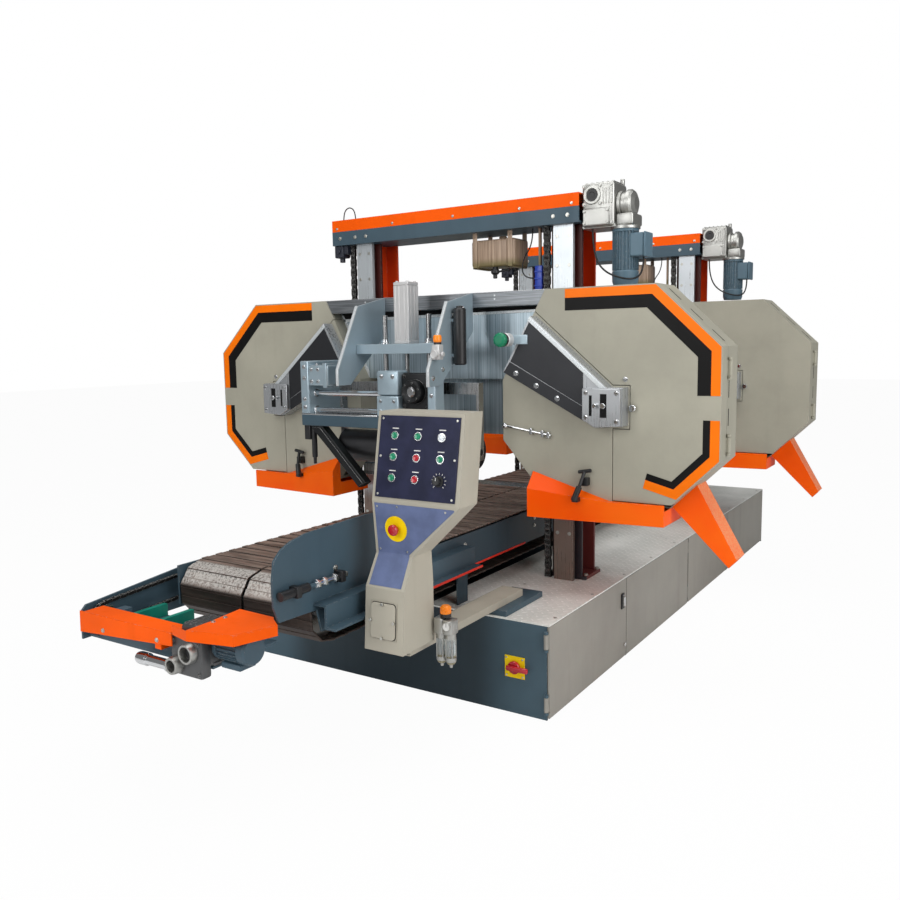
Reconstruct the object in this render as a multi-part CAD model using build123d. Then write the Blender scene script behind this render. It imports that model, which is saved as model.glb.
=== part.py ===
from build123d import *
import os
from math import cos, hypot, pi, sin

os.makedirs("parts", exist_ok=True)

# Twin-head horizontal band resaw for slabbing logs. Millimetres, +Z up, +Y the feed direction,
# +X the operator's side. The origin is on the floor, under the joint of the two base modules.

# Base modules
module_length = 1800.0     # one base module; the two saw heads stand this far apart
base_width = 1600.0
base_height = 396.0        # floor to the top of the tread plates
panel = 8.0                # base panels and cabinet doors
tread = 6.0
tread_joint = 2.0          # between the tread plates of the two modules
tread_inner = 220.0        # inner edge of the tread plates, under the conveyor
skid = (110.0, 80.0)       # width and height
skid_set_in = 17.0         # right skid behind the cabinet doors
tube_wall = 6.0
pit_width = 900.0          # between the inner walls, where the conveyor stands
pit_beam = 80.0            # square beams across the pit, which carry the tread plates and the conveyor
pit_floor = 4.0            # sheet on the cross tubes, between the inner walls

# Cabinet doors, one leaf in each module and a fixed panel behind it
cabinet_leaf = 830.0
cabinet_rise = 10.0        # lower edge above the floor
cabinet_gap = 2.0          # to the tread plate and to the fixed panel
cabinet_hinges = (70.0, 330.0)
module_slot = 20.0         # open strip between the modules, where the rear leaf hinges
post_width = 20.0
latch_from_hinge = 775.0
latch_height = 290.0
latch_body = (30.0, 70.0, 6.0)
latch_grip = (14.0, 46.0, 10.0)
bolt_from_hinge = 805.0
bolt_height = 70.0
bolt_radius = 8.0

# Hinges of the cabinet doors and of the casing doors
hinge_pin = 5.0            # radius
hinge_sleeve = 9.0         # radius
hinge_length = 60.0
hinge_lug = 12.0           # lug above and below each sleeve
hinge_slit = 1.5           # hinge axis to the back of the door, and to the frame behind it
hinge_offset = 10.0        # hinge axis to the edge of the door
running_fit = 0.05         # radial clearance of pins, shafts and guide rods

# Slat conveyor
slat_top = 700.0
slat_width = 320.0         # one of two strands side by side
strand_gap = 14.0
slat_thickness = 10.0
slat_pitch = 70.0
slat_slit = 4.0            # open joint between two slats
slit_floor = 2.0           # bottom of that joint, inside the middle of the slat
wrap_radius = 105.0        # middle of the slats round the end shafts
infeed_reach = 750.0       # infeed shaft ahead of the base's front
tail_inset = 20.0          # tail shaft inside the base's rear
side_clearance = 10.0      # between a strand and its side plate
side_plate = 8.0
side_drop = 50.0           # lower edge of the overhanging plates, below the shafts
side_top = 690.0
left_plate_start = 850.0   # ahead of the base's front
plate_tail = 40.0          # behind the base's rear
fence_outline = ((-820.0, 540.0), (-840.0, 622.0), (-1022.0, 628.0), (-1044.0, 682.0), (-1045.0, 770.0),
                 (-1034.0, 832.0), (-1000.0, 862.0), (-955.0, 880.0), (-880.0, 893.0), (-560.0, 900.0),
                 (-100.0, 860.0))
side_angle = ((345.0, 642.0), (345.0, 650.0), (401.0, 650.0), (401.0, 574.0), (440.0, 574.0), (440.0, 566.0),
              (393.0, 566.0), (393.0, 642.0))      # folded angle outside the right plate, x and height
side_angle_ends = (-860.0, 100.0)                  # from the base's front
cross_tube = 60.0
cross_tube_count = 7
wear_strip = (40.0, 30.0)  # width and depth
wear_strip_x = (120.0, 220.0)
shaft_radius = 25.0
sprocket_x = (57.0, 277.0)
sprocket_clearance = 3.0   # sprocket rim to the inside of the slats
sprocket_width = 20.0
bearing = (90.0, 40.0)     # height and depth of a shaft bearing
plate_bore = 1.0           # side plate clear of the shaft
tension_rod = 8.0
tension_span = (-950.0, -750.0)    # from the base's front
tension_height = 718.0
tension_lug = 35.0

# Infeed nose with the feed gearmotor
nose_length = 1190.0       # ahead of the base's front
nose_bed_start = 1165.0
nose_bed_end = 880.0
nose_half = 450.0          # middle of the machine to the left wall
nose_bed_right = 190.0
nose_bed = 8.0
nose_bed_top = 500.0
nose_wall = ((-1190.0, 487.0), (-1190.0, 587.0), (-1170.0, 607.0), (-675.0, 655.0), (-675.0, 487.0))
nose_stay = 15.0
nose_beam = (14.0, 60.0)
nose_beam_x = (-390.0, 50.0)
nose_strip_x = (-385.0, -237.0)
nose_strip = (20.0, 45.0)
nose_strip_start = 1040.0
feed_shaft_radius = 18.0
feed_sprocket = 36.0
feed_chain = (16.0, 14.0)  # width and depth
feed_chain_x = -412.0
feed_shaft_ahead = 370.0   # ahead of the infeed shaft
feed_gearbox = 130.0
feed_gearbox_x = 60.0
feed_socket = 60.0         # feed shaft's depth in the gearbox
feed_motor = (50.0, 142.0) # radius and length
feed_gear_front = (45.0, 1212.0, 465.0, 600.0)     # left, ahead of the base's front, lower and upper end
feed_bosses = ((140.0, 552.0, 34.0, 23.0), (78.0, 505.0, 30.0, 30.0))      # x, height, radius, length
feed_sleeve = (-130.0, 1200.0, 485.0, 22.0)        # left end, ahead of the base's front, height, radius
feed_bearing = (-340.0, 40.0, 60.0, 100.0)         # left side, width, depth, height
guard_sheet = 4.0
guard_y = 1222.0           # left guard's front, ahead of the base's front
guard_outline = ((-414.0, 531.0), (67.0, 563.0), (67.0, 606.0), (-411.0, 606.0))   # x and height
guard_fold_x = (-390.0, 58.0)      # between the feed chain and the gearbox
guard_fold = 80.0
guard_stays = (-300.0, -20.0)
guard_stay = (30.0, 540.0, 560.0)
guard_pad = (168.0, 188.0)
right_guard_top = 640.0
right_guard = ((165.0, -1245.0), (332.0, -1206.0), (378.0, -1063.0), (330.0, -1030.0), (312.0, -1012.0),
               (150.0, -1005.0), (165.0, -1150.0))
lip_line = ((75.0, -1224.0), (165.0, -1245.0), (332.0, -1206.0), (378.0, -1063.0), (374.0, -1062.0),
            (329.0, -1202.0), (165.0, -1241.0), (75.0, -1220.0))
right_guard_lip = 36.0

# Saw heads
blade_height = 155.0       # wheel rim above the slats
throat = 800.0             # clear width between the two wheel casings
wheel_radius = 390.0
wheel_width = 90.0
wheel_rim = 45.0
wheel_web = 14.0
hub_radius = 75.0
axle_radius = 30.0
blade_width = 96.0
blade_thickness = 1.2
band_clearance = 0.3       # blade to wheel rim
blade_slot = (20.0, 6.0)   # casing's slots clear of the blade, up and across
head_setback = 360.0       # door front, behind the module's front
door_depth = 75.0
casing_depth = 142.0
sheet = 4.0
inner_margin = 115.0       # wheel rim to the casing's inner, outer, top and bottom sides
outer_margin = 61.0
top_margin = 96.0
bottom_margin = 34.0
outer_top_cut = (263.0, 251.0)     # corners cut off the casing, across and up
outer_bottom_cut = (219.0, 214.0)
inner_bottom_cut = (223.0, 258.0)
inner_top_cut = (208.0, 386.0)
door_lift = 28.0           # lower edge of the door above the casing's bottom
axle_hole = 32.0           # axle's way through the sheets
casing_hinges = (-150.0, 150.0)    # from the wheel's axle
head_beam_height = 64.0
head_beam_setback = 5.0    # behind the casing panels
cover_sheet = 4.0
back_sheet = 8.0
wheel_bearing = (75.0, 60.0)       # radius and length
saw_motor = (140.0, 360.0)
motor_box = (120.0, 140.0, 60.0)
motor_socket = 50.0        # axle's depth in the motor
end_clearance = 2.0        # shaft ends to the bottoms of their bores

# Outboard arms that carry the front ends of the axles
arm_depth = 65.0
arm_wall = 8.0
arm_bore = 50.0
arm_boss = 50.0
arm_outline = ((-467.0, 138.0), (-335.0, 373.0), (10.0, 75.0), (76.0, 75.0), (76.0, -80.0), (-40.0, -89.0))
seam_offset = 9.0          # vertical joint of door and panel, outside the axle
panel_margin = 6.0         # fixed casing panel round the arm's end
panel_top_share = 0.76     # where that joint meets the casing's inner top edge

# Orange sawdust pans and chutes
pan_drop = 64.0            # below the casing
pan_start = 547.0
pan_knee = 900.0
pan_projection = 60.0      # ahead of the panel at the inner end
pan_knee_projection = 30.0
pan_lip = 8.0
pan_rise = (193.0, 125.0)  # inner end, at the panel and at its front
pan_lip_rise = 89.0
pan_sheet = 4.0
chute_root = (10.0, 150.0) # along the casing's lower outer edge
chute_low = (239.0, 222.0) # outlet's corners, out and down from the casing's corner
chute_high = (270.0, 186.0)
chute_inset = (2.0, 20.0)  # from the casing's front and back
chute_sheet = 3.0

# Hold-down unit in front of each head
gusset_half_gap = 240.0
gusset_sheet = 8.0
gusset_outline = ((365.0, 1731.0), (150.0, 1684.0), (0.0, 1400.0), (0.0, 1330.0), (90.0, 1330.0),
                  (365.0, 1560.0))
bridge = (140.0, 260.0, 1500.0, 12.0)  # front, back, height and thickness
press_setback = 200.0      # press roller, behind the module's front
cylinder_width = 80.0
cylinder_length = 271.0
cylinder_bore = 32.0
cylinder_cap = 15.0
rod_radius = 10.0
piston = (31.5, 20.0)
piston_height = 1640.0
guide_rod_radius = 12.0
guide_rod_x = 120.0
press_height = 1040.0
press_radius = 75.0
press_wall = 8.0
press_half_length = 360.0
press_axle = 15.0
press_arm = (370.0, 12.0)
press_arm_foot = 35.0
press_bar = (1290.0, 50.0, 40.0)   # lower face, height, depth
slide_bar_radius = 14.0
slide_bar_y = 110.0
slide_bar_heights = (1290.0, 1210.0)
slide_bar_ends = (-470.0, -70.0)
slide_bracket = (50.0, 60.0, 1195.0, 1440.0)   # width, front, lower and upper end
slide_cheek = (-350.0, 60.0, 140.0, 1325.0, 1420.0)    # right end, front, back, lower and upper end
slide_block = (50.0, 55.0, 140.0, 1195.0, 1395.0)      # the same
guide_drive = (200.0, 80.0, 140.0, 1225.0, 1385.0)     # the same
drive_boss = (52.0, 40.0)  # radius and length
drive_lug = (60.0, 130.0, 1195.0, 1380.0)      # front, back, lower and upper end
lower_beam = (60.0, 110.0, 57.0)               # front, back, height
guide_arm = ((-470.0, 0.0), (-400.0, 0.0), (-150.0, -250.0), (-190.0, -275.0))     # from the lower beam
oiler = (30.0, 85.0, 470.0, 1520.0)            # radius, length, x and height
oiler_bracket = (455.0, 560.0, 40.0, 10.0)     # left, right, height, thickness
damper = (28.0, 280.0, 1416.0, 1669.0)         # radius, x, lower and upper end
damper_clamps = (1450.0, 1600.0)
damper_clamp = (30.0, 14.0)
valve = (42.0, 40.0, 20.0, 1440.0, 70.0)       # width, depth, front, height, length

# Gantries
column_x = 565.0
rail = (97.0, 20.0)
rail_spacer = (57.0, 22.0)
slide_gap = 0.5
shoe_wall = 18.0
shoe_keeper = 12.0
shoe_height = 160.0
shoe_levels = (95.0, -355.0)       # lower ends, from the wheel axle
shoe_post = 90.0
shoe_gap = 50.0            # casing back to the front of the guide rail
column = (150.0, 155.0)
column_flange = 12.0
column_web = 10.0
foot_plate = (190.0, 16.0, 20.0)   # width, thickness, projection at the back
beam_bottom = 2030.0
beam_height = 70.0
beam_depth = 230.0
beam_overhang = 30.0       # ahead of the guide rail
beam_wall = 8.0
beam_ends = (-751.0, 654.0)
cap_height = 58.0
cap_sheet = 5.0
chain = (32.0, 17.0)
chain_side_gap = 6.0       # lift chain to the slide shoe
chain_behind_rail = 20.0   # middle of the chain to the front of the guide rail
chain_pitch_radius = 50.0
chain_clearance = 0.5      # chain to the rim of its sprocket
chain_slot = 8.0
line_shaft_radius = 15.0
line_shaft_rise = 64.0     # above the beam's bottom
line_sprocket_width = 20.0
pedestal = (20.0, 70.0, 95.0)      # width, depth, height of a line shaft bearing
pedestal_x = (-710.0, 410.0)
shaft_start = -735.0
lift_gearbox = (156.0, 170.0, 200.0)
gearbox_ahead = 80.0       # front of the gearbox ahead of the line shaft
gearbox_drop = 30.0        # below the beam
gearbox_socket = 100.0
gear_input = (80.0, 130.0, 160.0)
lift_motor = (58.0, 250.0)
lift_motor_x = 833.0
motor_terminal = (50.0, 90.0, 1870.0, 100.0)   # projection, width, height, length
tank = (238.0, 145.0, 130.0)
tank_left = 73.0
tank_hang = 33.0
tank_setback = 45.0        # behind the beam's front
tank_sheet = 3.0
tank_strap = 24.0
tap = (12.0, 22.0)
pump = (40.0, 44.0, 120.0)
pump_left = 410.0
pump_hang = 170.0
pump_setback = 50.0
pump_strap = (10.0, 15.0)

# Console, its arm and the small controls
console_left = 450.0
console_sections = ((469.0, 723.0, 190.0, 162.0), (687.0, 707.0, 174.0, 162.0), (792.0, 643.0, 110.0, 157.0),
                    (978.0, 659.0, 110.0, 355.0), (1281.0, 605.0, 110.0, 350.0))  # z, ahead, depth, width
console_sheet = 3.0
arm_tube = (100.0, 30.0)
arm_left = 455.0
arm_tube_end = 240.0       # behind the base's front
arm_under = 70.0           # arm's end under the console
arm_tube_wall = 5.0
arm_stand = (450.0, 600.0, 10.0, 340.0, 24.0)      # left, right, front, back, height
plate = 4.0
plate_margin = 14.0
button_radius = 11.0
button_fit = 0.1
button_bezel = 15.0
bezel_height = 4.0
button_proud = 5.0
collar = (2.5, 3.0, 3.5)   # wider than the stem, thickness, distance behind the face
button_step = (95.0, 72.0)
green_places = ((-1, 1), (-1, 0), (-1, -1), (0, 1), (1, 0))
red_places = ((0, 0), (0, -1))
lamp_place = (1, 1)
dial_place = (1, -1)
dial = (19.0, 22.0, 6.0)   # radius, height, stem radius
estop_x = 545.0
estop_disc = 45.0
estop_head = (20.0, 18.0)
estop_proud = 8.0
cover_plate = (110.0, 130.0)
isolator_x = 645.0
isolator_z = 197.0
isolator_plate = 90.0
isolator_disc = (27.0, 12.0)
isolator_bar = (100.0, 24.0, 14.0)
isolator_tail = 30.0       # short end of the bar, from the axis
air_x = (622.0, 698.0)
air_y = (555.0, 505.0)     # ahead of the base's front
air_z = (500.0, 560.0)
air_bracket = (580.0, 20.0, 30.0)      # left end on the console's back, thickness, height
bowl = (19.0, 120.0)
bowl_x = (641.0, 679.0)
air_knob = (20.0, 42.0, 6.0, 15.0)     # radius, height, stem radius and length
air_inlet = (9.3, 14.0)

# Cables, as points from the beam's bottom and from the top of its cap
cable_radius = 3.0
cable_y = 72.0             # behind the beam's front
pump_cable = ((392.0, 0.0), (392.0, -70.0), (336.0, -138.0), (338.0, -226.0), (410.0, -226.0))
cap_cable = ((-650.0, 0.0), (-650.0, 52.0), (-690.0, 78.0), (-730.0, 52.0), (-730.0, 0.0))
motor_cable_radius = 4.0
motor_cable = ((700.0, 50.0, 0.0), (700.0, 50.0, -90.0), (760.0, 10.0, -190.0), (880.0, 10.0, -235.0),
               (916.0, 100.0, -210.0), (916.0, 100.0, -130.0))    # x, behind the beam's front, height


def block(x, y, z):
    """Box between three pairs of limits."""
    middle = [(low + high) / 2 for low, high in (x, y, z)]
    return Pos(*middle) * Box(abs(x[1] - x[0]), abs(y[1] - y[0]), abs(z[1] - z[0]))


def about(middle, width):
    return (middle - width / 2, middle + width / 2)


def along(axis):
    return {"x": (1, 0, 0), "y": (0, 1, 0), "z": (0, 0, 1)}[axis]


def at(axis, level, a, b):
    return {"x": (level, a, b), "y": (a, level, b), "z": (a, b, level)}[axis]


def prism(points, axis, span):
    """Solid of an outline drawn across an axis, as (y, z), (x, z) or (x, y)."""
    outline = make_face(Polyline(*[at(axis, span[0], a, b) for a, b in points], close=True))
    return extrude(outline, amount=span[1] - span[0], dir=along(axis))


def rod(axis, radius, centre, span):
    """Round bar along an axis, at the two other coordinates."""
    face = Plane(at(axis, span[0], *centre), z_dir=along(axis)) * Circle(radius)
    return extrude(face, amount=span[1] - span[0], dir=along(axis))


def sleeve(axis, outer, inner, centre, span):
    return rod(axis, outer, centre, span) - rod(axis, inner, centre, span)


def box_tube(x, y, z, wall, axis):
    """Rectangular tube, open at both ends along its axis."""
    limits = (x, y, z)
    inner = [pair if "xyz"[i] == axis else (pair[0] + wall, pair[1] - wall) for i, pair in enumerate(limits)]
    return block(*limits) - block(*inner)


def sheet_tray(face, y, wall, closed):
    """Sheet tray of a face drawn as (x, z), from y[0] to y[1], closed by a sheet at its front or back."""
    inner = offset(face, -wall, kind=Kind.INTERSECTION)
    cavity = (y[0] + wall, y[1]) if closed == "front" else (y[0], y[1] - wall)
    return upright(face, y) - upright(inner, cavity)


def upright(face, y):
    """Solid of a face drawn as (x, z) in the ground plane, stood up between two y limits."""
    return Rot(90, 0, 0) * Pos(0, 0, -y[1]) * extrude(face, amount=y[1] - y[0], dir=(0, 0, 1))


def outline_face(points):
    return make_face(Polyline(*[(x, z) for x, z in points], close=True))


def mirrored(shape):
    return mirror(shape, about=Plane.YZ)


def both_sides(shape):
    return [shape, mirrored(shape)]


def further(shapes):
    """The same solids, one module further along the feed."""
    return [Pos(0, module_length, 0) * shape for shape in shapes]


def joined(shapes):
    whole = shapes[0]
    for shape in shapes[1:]:
        whole = whole + shape
    return whole


def hinge(x, y, levels, turn=0, flip=False):
    """Pins with lugs for the fixed side, and sleeves with leaves for the door, of one vertical hinge.

    As drawn the door lies on the -X side, its front towards -Y; flip mirrors that and turn turns it.
    """
    fixed, moving = [], []
    place = Pos(x, y, 0) * Rot(0, 0, turn)
    for level in levels:
        low, high = about(level, hinge_length)
        pin = rod("z", hinge_pin, (0, 0), (low - hinge_lug, high + hinge_lug))
        for end in ((low - hinge_lug, low - hinge_slit), (high + hinge_slit, high + hinge_lug)):
            pin += rod("z", hinge_sleeve, (0, 0), end)
            pin += block((-hinge_offset, 0), (hinge_slit, hinge_sleeve), end)
        knuckle = rod("z", hinge_sleeve, (0, 0), (low, high))
        knuckle += block((-hinge_offset, -hinge_pin), (-hinge_sleeve + hinge_slit, -hinge_slit), (low, high))
        knuckle -= rod("z", hinge_pin + running_fit, (0, 0), (low, high))
        for group, shape in ((fixed, pin), (moving, knuckle)):
            group.append(place * (mirrored(shape) if flip else shape))
    return fixed, moving


nodes = {}

# Base frame: welded panels, skids, cross tubes, column stools and the inner walls of the conveyor pit
half = base_width / 2
front = -module_length
rear = module_length
under_deck = base_height - tread
pit = pit_width / 2
skid_right = half - panel - skid_set_in
inside = (front + panel, rear - panel)
door_back = half - panel
fixed_face = door_back - 2 * hinge_slit
rail_front = front + head_setback + door_depth + 2 * hinge_slit + casing_depth + shoe_gap
column_front = rail_front + rail[1] + rail_spacer[1]
column_middle = column_front + column[1] / 2

frame = [block((-half, fixed_face), (front, front + panel), (0, under_deck)),
         block((-half, half), (rear - panel, rear), (0, under_deck)),
         block((-half, -half + panel), inside, (0, under_deck))]
for side in ((skid_right - skid[0], skid_right), (-half + panel, -half + panel + skid[0])):
    frame.append(box_tube(side, inside, (0, skid[1]), tube_wall, "y"))
cross_span = (-half + panel + skid[0], skid_right - skid[0])
for y in (inside[0] + skid[0] / 2, column_middle, 0, column_middle + module_length, inside[1] - skid[0] / 2):
    frame.append(box_tube(cross_span, about(y, skid[0]), (0, skid[1]), tube_wall, "x"))
for y in (column_middle, column_middle + module_length):
    for x in (-column_x, column_x):
        frame.append(box_tube(about(x, column[0]), about(y, skid[0]), (skid[1], under_deck), tube_wall, "z"))
for side in ((pit, pit + panel), (-pit - panel, -pit)):
    frame.append(block(side, inside, (skid[1], under_deck)))
frame.append(block((-pit, pit), inside, (skid[1], skid[1] + pit_floor)))
for side in ((pit + panel, skid_right - panel), (-half + panel, -pit - panel)):
    frame.append(block(side, about(0, panel), (skid[1], under_deck)))
beam_y = (inside[0] + pit_beam, front / 3, rear / 3, inside[1] - pit_beam)
for y in beam_y:
    frame.append(box_tube((-pit, pit), about(y, pit_beam), (under_deck - pit_beam, under_deck),
                          tube_wall, "x"))
arm_low = base_height + arm_stand[4]
frame.append(block(arm_stand[:2], (front + arm_stand[2], front + arm_stand[3]), (base_height, arm_low)))

# Cabinet doors with latch and lower bolt, on hinges at their front edges
for name, edge, stop in (("front", front, -module_slot), ("rear", cabinet_gap, rear - panel)):
    pins, sleeves = hinge(door_back - hinge_slit, edge - hinge_offset, cabinet_hinges, turn=90, flip=True)
    door_z = (cabinet_rise, under_deck - cabinet_gap)
    leaf_end = edge + cabinet_leaf
    frame += pins
    frame.append(block((door_back, half), (leaf_end + cabinet_gap, stop), door_z))
    for y in (leaf_end + post_width, stop - post_width):
        frame.append(block((skid_right, door_back), about(y, post_width), (0, under_deck)))
    leaf = [block((door_back, half), (edge, leaf_end), door_z)] + sleeves
    leaf.append(block((half, half + latch_body[2]), about(edge + latch_from_hinge, latch_body[0]),
                      about(latch_height, latch_body[1])))
    leaf.append(block((half + latch_body[2], half + latch_body[2] + latch_grip[2]),
                      about(edge + latch_from_hinge, latch_grip[0]), about(latch_height, latch_grip[1])))
    leaf.append(rod("x", bolt_radius, (edge + bolt_from_hinge, bolt_height), (half, half + latch_body[2])))
    nodes["cabinet_door_" + name] = [joined(leaf)]
frame.append(block((skid_right, fixed_face), (cabinet_gap, cabinet_gap + post_width), (0, under_deck)))

# Tread plates on both sides of the conveyor
plates = []
for y in ((front, -tread_joint / 2), (tread_joint / 2, rear)):
    plates += both_sides(block((tread_inner, half), y, (under_deck, base_height)))
nodes["tread_plates"] = plates

# Slat chains: two strands of slats round the end shafts, drawn as slats with open joints
axis_z = slat_top - slat_thickness / 2 - wrap_radius
infeed_y = front - infeed_reach
tail_y = rear - tail_inset
run = tail_y - infeed_y
loop = 2 * run + 2 * pi * wrap_radius
pitch = loop / round(loop / slat_pitch)


def on_loop(length, out):
    """Point at a length along the middle of the slats, moved outwards."""
    length, radius, arc = length % loop, wrap_radius + out, pi * wrap_radius
    if length < run:
        return (infeed_y + length, axis_z + radius)
    if length < run + arc:
        turn = pi / 2 - (length - run) / wrap_radius
        return (tail_y + radius * cos(turn), axis_z + radius * sin(turn))
    if length < 2 * run + arc:
        return (tail_y - (length - run - arc), axis_z - radius)
    turn = -pi / 2 - (length - 2 * run - arc) / wrap_radius
    return (infeed_y + radius * cos(turn), axis_z + radius * sin(turn))


slats = []
for k in range(round(loop / pitch)):
    ends = (k * pitch + slat_slit / 2, (k + 1) * pitch - slat_slit / 2)
    slats += [on_loop(ends[0], -slit_floor), on_loop(ends[0], slat_thickness / 2),
              on_loop(ends[1], slat_thickness / 2), on_loop(ends[1], -slit_floor)]
strand_x = (strand_gap / 2, strand_gap / 2 + slat_width)
inner_radius = wrap_radius - slat_thickness / 2
strand = prism(slats, "x", strand_x)
strand -= block(strand_x, (infeed_y, tail_y), about(axis_z, 2 * inner_radius))
for y in (infeed_y, tail_y):
    strand -= rod("x", inner_radius, (y, axis_z), strand_x)
nodes["slat_chain"] = both_sides(strand)

# Conveyor bed: side plates, the right one with the infeed fence, cross tubes, bearings, tensioner and nose
plate_inner = strand_x[1] + side_clearance
plate_outer = plate_inner + side_plate
plate_low = axis_z - side_drop
tail_end = rear + plate_tail
under = [(tail_end, side_top), (tail_end, plate_low)]
for y in reversed(beam_y):
    leg = about(y, pit_beam)
    under += [(leg[1], plate_low), (leg[1], base_height), (leg[0], base_height), (leg[0], plate_low)]
nose_front = front - nose_length
fence = [(front + y, z) for y, z in fence_outline]
right_plate = prism(fence + [(fence[-1][0], side_top)] + under, "x", (plate_inner, plate_outer))
left_plate = prism([(front - left_plate_start, plate_low), (front - left_plate_start, side_top)] + under,
                   "x", (-plate_outer, -plate_inner))
bed = []
bearing_face = plate_outer + bearing[1]
for y in (infeed_y, tail_y):
    right_plate -= rod("x", shaft_radius + plate_bore, (y, axis_z), (plate_inner, plate_outer))
    left_plate -= rod("x", shaft_radius + plate_bore, (y, axis_z), (-plate_outer, -plate_inner))
    housing = block((plate_outer, bearing_face), about(y, bearing[0]), about(axis_z, bearing[0]))
    housing -= rod("x", shaft_radius + running_fit, (y, axis_z), (plate_outer, bearing_face))
    bed += both_sides(housing)
bed += [right_plate, left_plate]
wear_top = slat_top - slat_thickness
tube_top = wear_top - wear_strip[1]
tube_step = (run - 4 * wrap_radius) / (cross_tube_count - 1)
for k in range(cross_tube_count):
    y = infeed_y + 2 * wrap_radius + k * tube_step
    bed.append(box_tube((-plate_inner, plate_inner), about(y, cross_tube), (tube_top - cross_tube, tube_top),
                        tube_wall, "x"))
tension_x = plate_outer + tension_lug / 2
tension_y = [front + y for y in tension_span]
bed.append(rod("y", tension_rod, (tension_x, tension_height), tension_y))
for y in (tension_y[0] - tension_rod, tension_y[1] + tension_rod):
    bed.append(block((plate_outer, plate_outer + tension_lug), about(y, 2 * tension_rod),
                     about(tension_height, tension_lug)))
bed.append(prism(side_angle, "y", [front + y for y in side_angle_ends]))
wall_end = front + nose_wall[-1][0]
bed_start = front - nose_bed_start
bed.append(block((-nose_half, nose_bed_right), (bed_start, front - nose_bed_end),
                 (nose_bed_top - nose_bed, nose_bed_top)))
bed.append(prism([(front + y, z) for y, z in nose_wall], "x", (-nose_half - side_plate, -nose_half)))
bed.append(block((-nose_half, -plate_outer), (wall_end - nose_stay, wall_end), (nose_wall[-1][1], axis_z)))
bed.append(block(nose_beam_x, (bed_start, bed_start + nose_beam[0]),
                 (nose_bed_top, nose_bed_top + nose_beam[1])))
feed_y = infeed_y - feed_shaft_ahead
feed_z = nose_bed_top + feed_gearbox / 2
feed_bearing_x = (feed_bearing[0], feed_bearing[0] + feed_bearing[1])
feed_housing = block(feed_bearing_x, about(feed_y, feed_bearing[2]),
                     (nose_bed_top, nose_bed_top + feed_bearing[3]))
bed.append(feed_housing - rod("x", feed_shaft_radius + running_fit, (feed_y, feed_z), feed_bearing_x))
nodes["conveyor_bed"] = bed

# Green wear strips under the slats and on the nose
strips = []
for x in wear_strip_x:
    strips += both_sides(block(about(x, wear_strip[0]), (infeed_y, tail_y), (tube_top, wear_top)))
for x in nose_strip_x:
    strips.append(block(about(x, nose_strip[0]), (front - nose_strip_start, front - nose_bed_end),
                        (nose_bed_top, nose_bed_top + nose_strip[1])))
nodes["wear_strips"] = strips

# Conveyor shafts with their discs, the feed shaft and the chain between them
feed_chain_span = about(feed_chain_x, feed_chain[0])


def conveyor_shaft(y, ends):
    shaft = rod("x", shaft_radius, (y, axis_z), ends)
    for x in sprocket_x:
        for place in (x, -x):
            shaft += rod("x", inner_radius - sprocket_clearance, (y, axis_z), about(place, sprocket_width))
    return shaft


def stadium(first, second, radius, span):
    """Solid round two equal circles across X."""
    length = hypot(second[0] - first[0], second[1] - first[1])
    side = ((first[1] - second[1]) / length * radius, (second[0] - first[0]) / length * radius)
    corners = [(p[0] + s * side[0], p[1] + s * side[1]) for p, s in
               ((first, 1), (second, 1), (second, -1), (first, -1))]
    return joined([prism(corners, "x", span), rod("x", radius, first, span), rod("x", radius, second, span)])


shaft_end = bearing_face - end_clearance
drive_end = feed_chain_span[0] - end_clearance
nodes["drive_shaft"] = [conveyor_shaft(infeed_y, (drive_end, shaft_end))
                        + rod("x", feed_sprocket, (infeed_y, axis_z), feed_chain_span)]
nodes["tail_shaft"] = [conveyor_shaft(tail_y, (-shaft_end, shaft_end))]
nodes["feed_shaft"] = [rod("x", feed_shaft_radius, (feed_y, feed_z),
                           (drive_end, feed_gearbox_x + feed_socket - end_clearance))
                       + rod("x", feed_sprocket, (feed_y, feed_z), feed_chain_span)]
chain_inner = feed_sprocket + chain_clearance
ends = ((infeed_y, axis_z), (feed_y, feed_z))
drive_chains = [stadium(*ends, chain_inner + feed_chain[1], feed_chain_span)
                - stadium(*ends, chain_inner, feed_chain_span)]

# Feed gearbox and motor
gearbox_x = (feed_gearbox_x, feed_gearbox_x + feed_gearbox)
gear_front = front - feed_gear_front[1]
gearbox = block(gearbox_x, about(feed_y, feed_gearbox), (nose_bed_top, nose_bed_top + feed_gearbox))
gearbox += block((feed_gear_front[0], gearbox_x[1]), (gear_front, bed_start - end_clearance),
                 feed_gear_front[2:])
for x, z, radius, length in feed_bosses:
    gearbox += rod("y", radius, (x, z), (gear_front - length, gear_front))
gearbox += rod("x", feed_sleeve[3], (front - feed_sleeve[1], feed_sleeve[2]),
               (feed_sleeve[0], feed_gear_front[0]))
gearbox -= rod("x", feed_shaft_radius + running_fit, (feed_y, feed_z),
               (feed_gearbox_x, feed_gearbox_x + feed_socket))
gearmotors = [gearbox,
              rod("x", feed_motor[0], (feed_y, feed_z), (gearbox_x[1], gearbox_x[1] + feed_motor[1]))]

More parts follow.
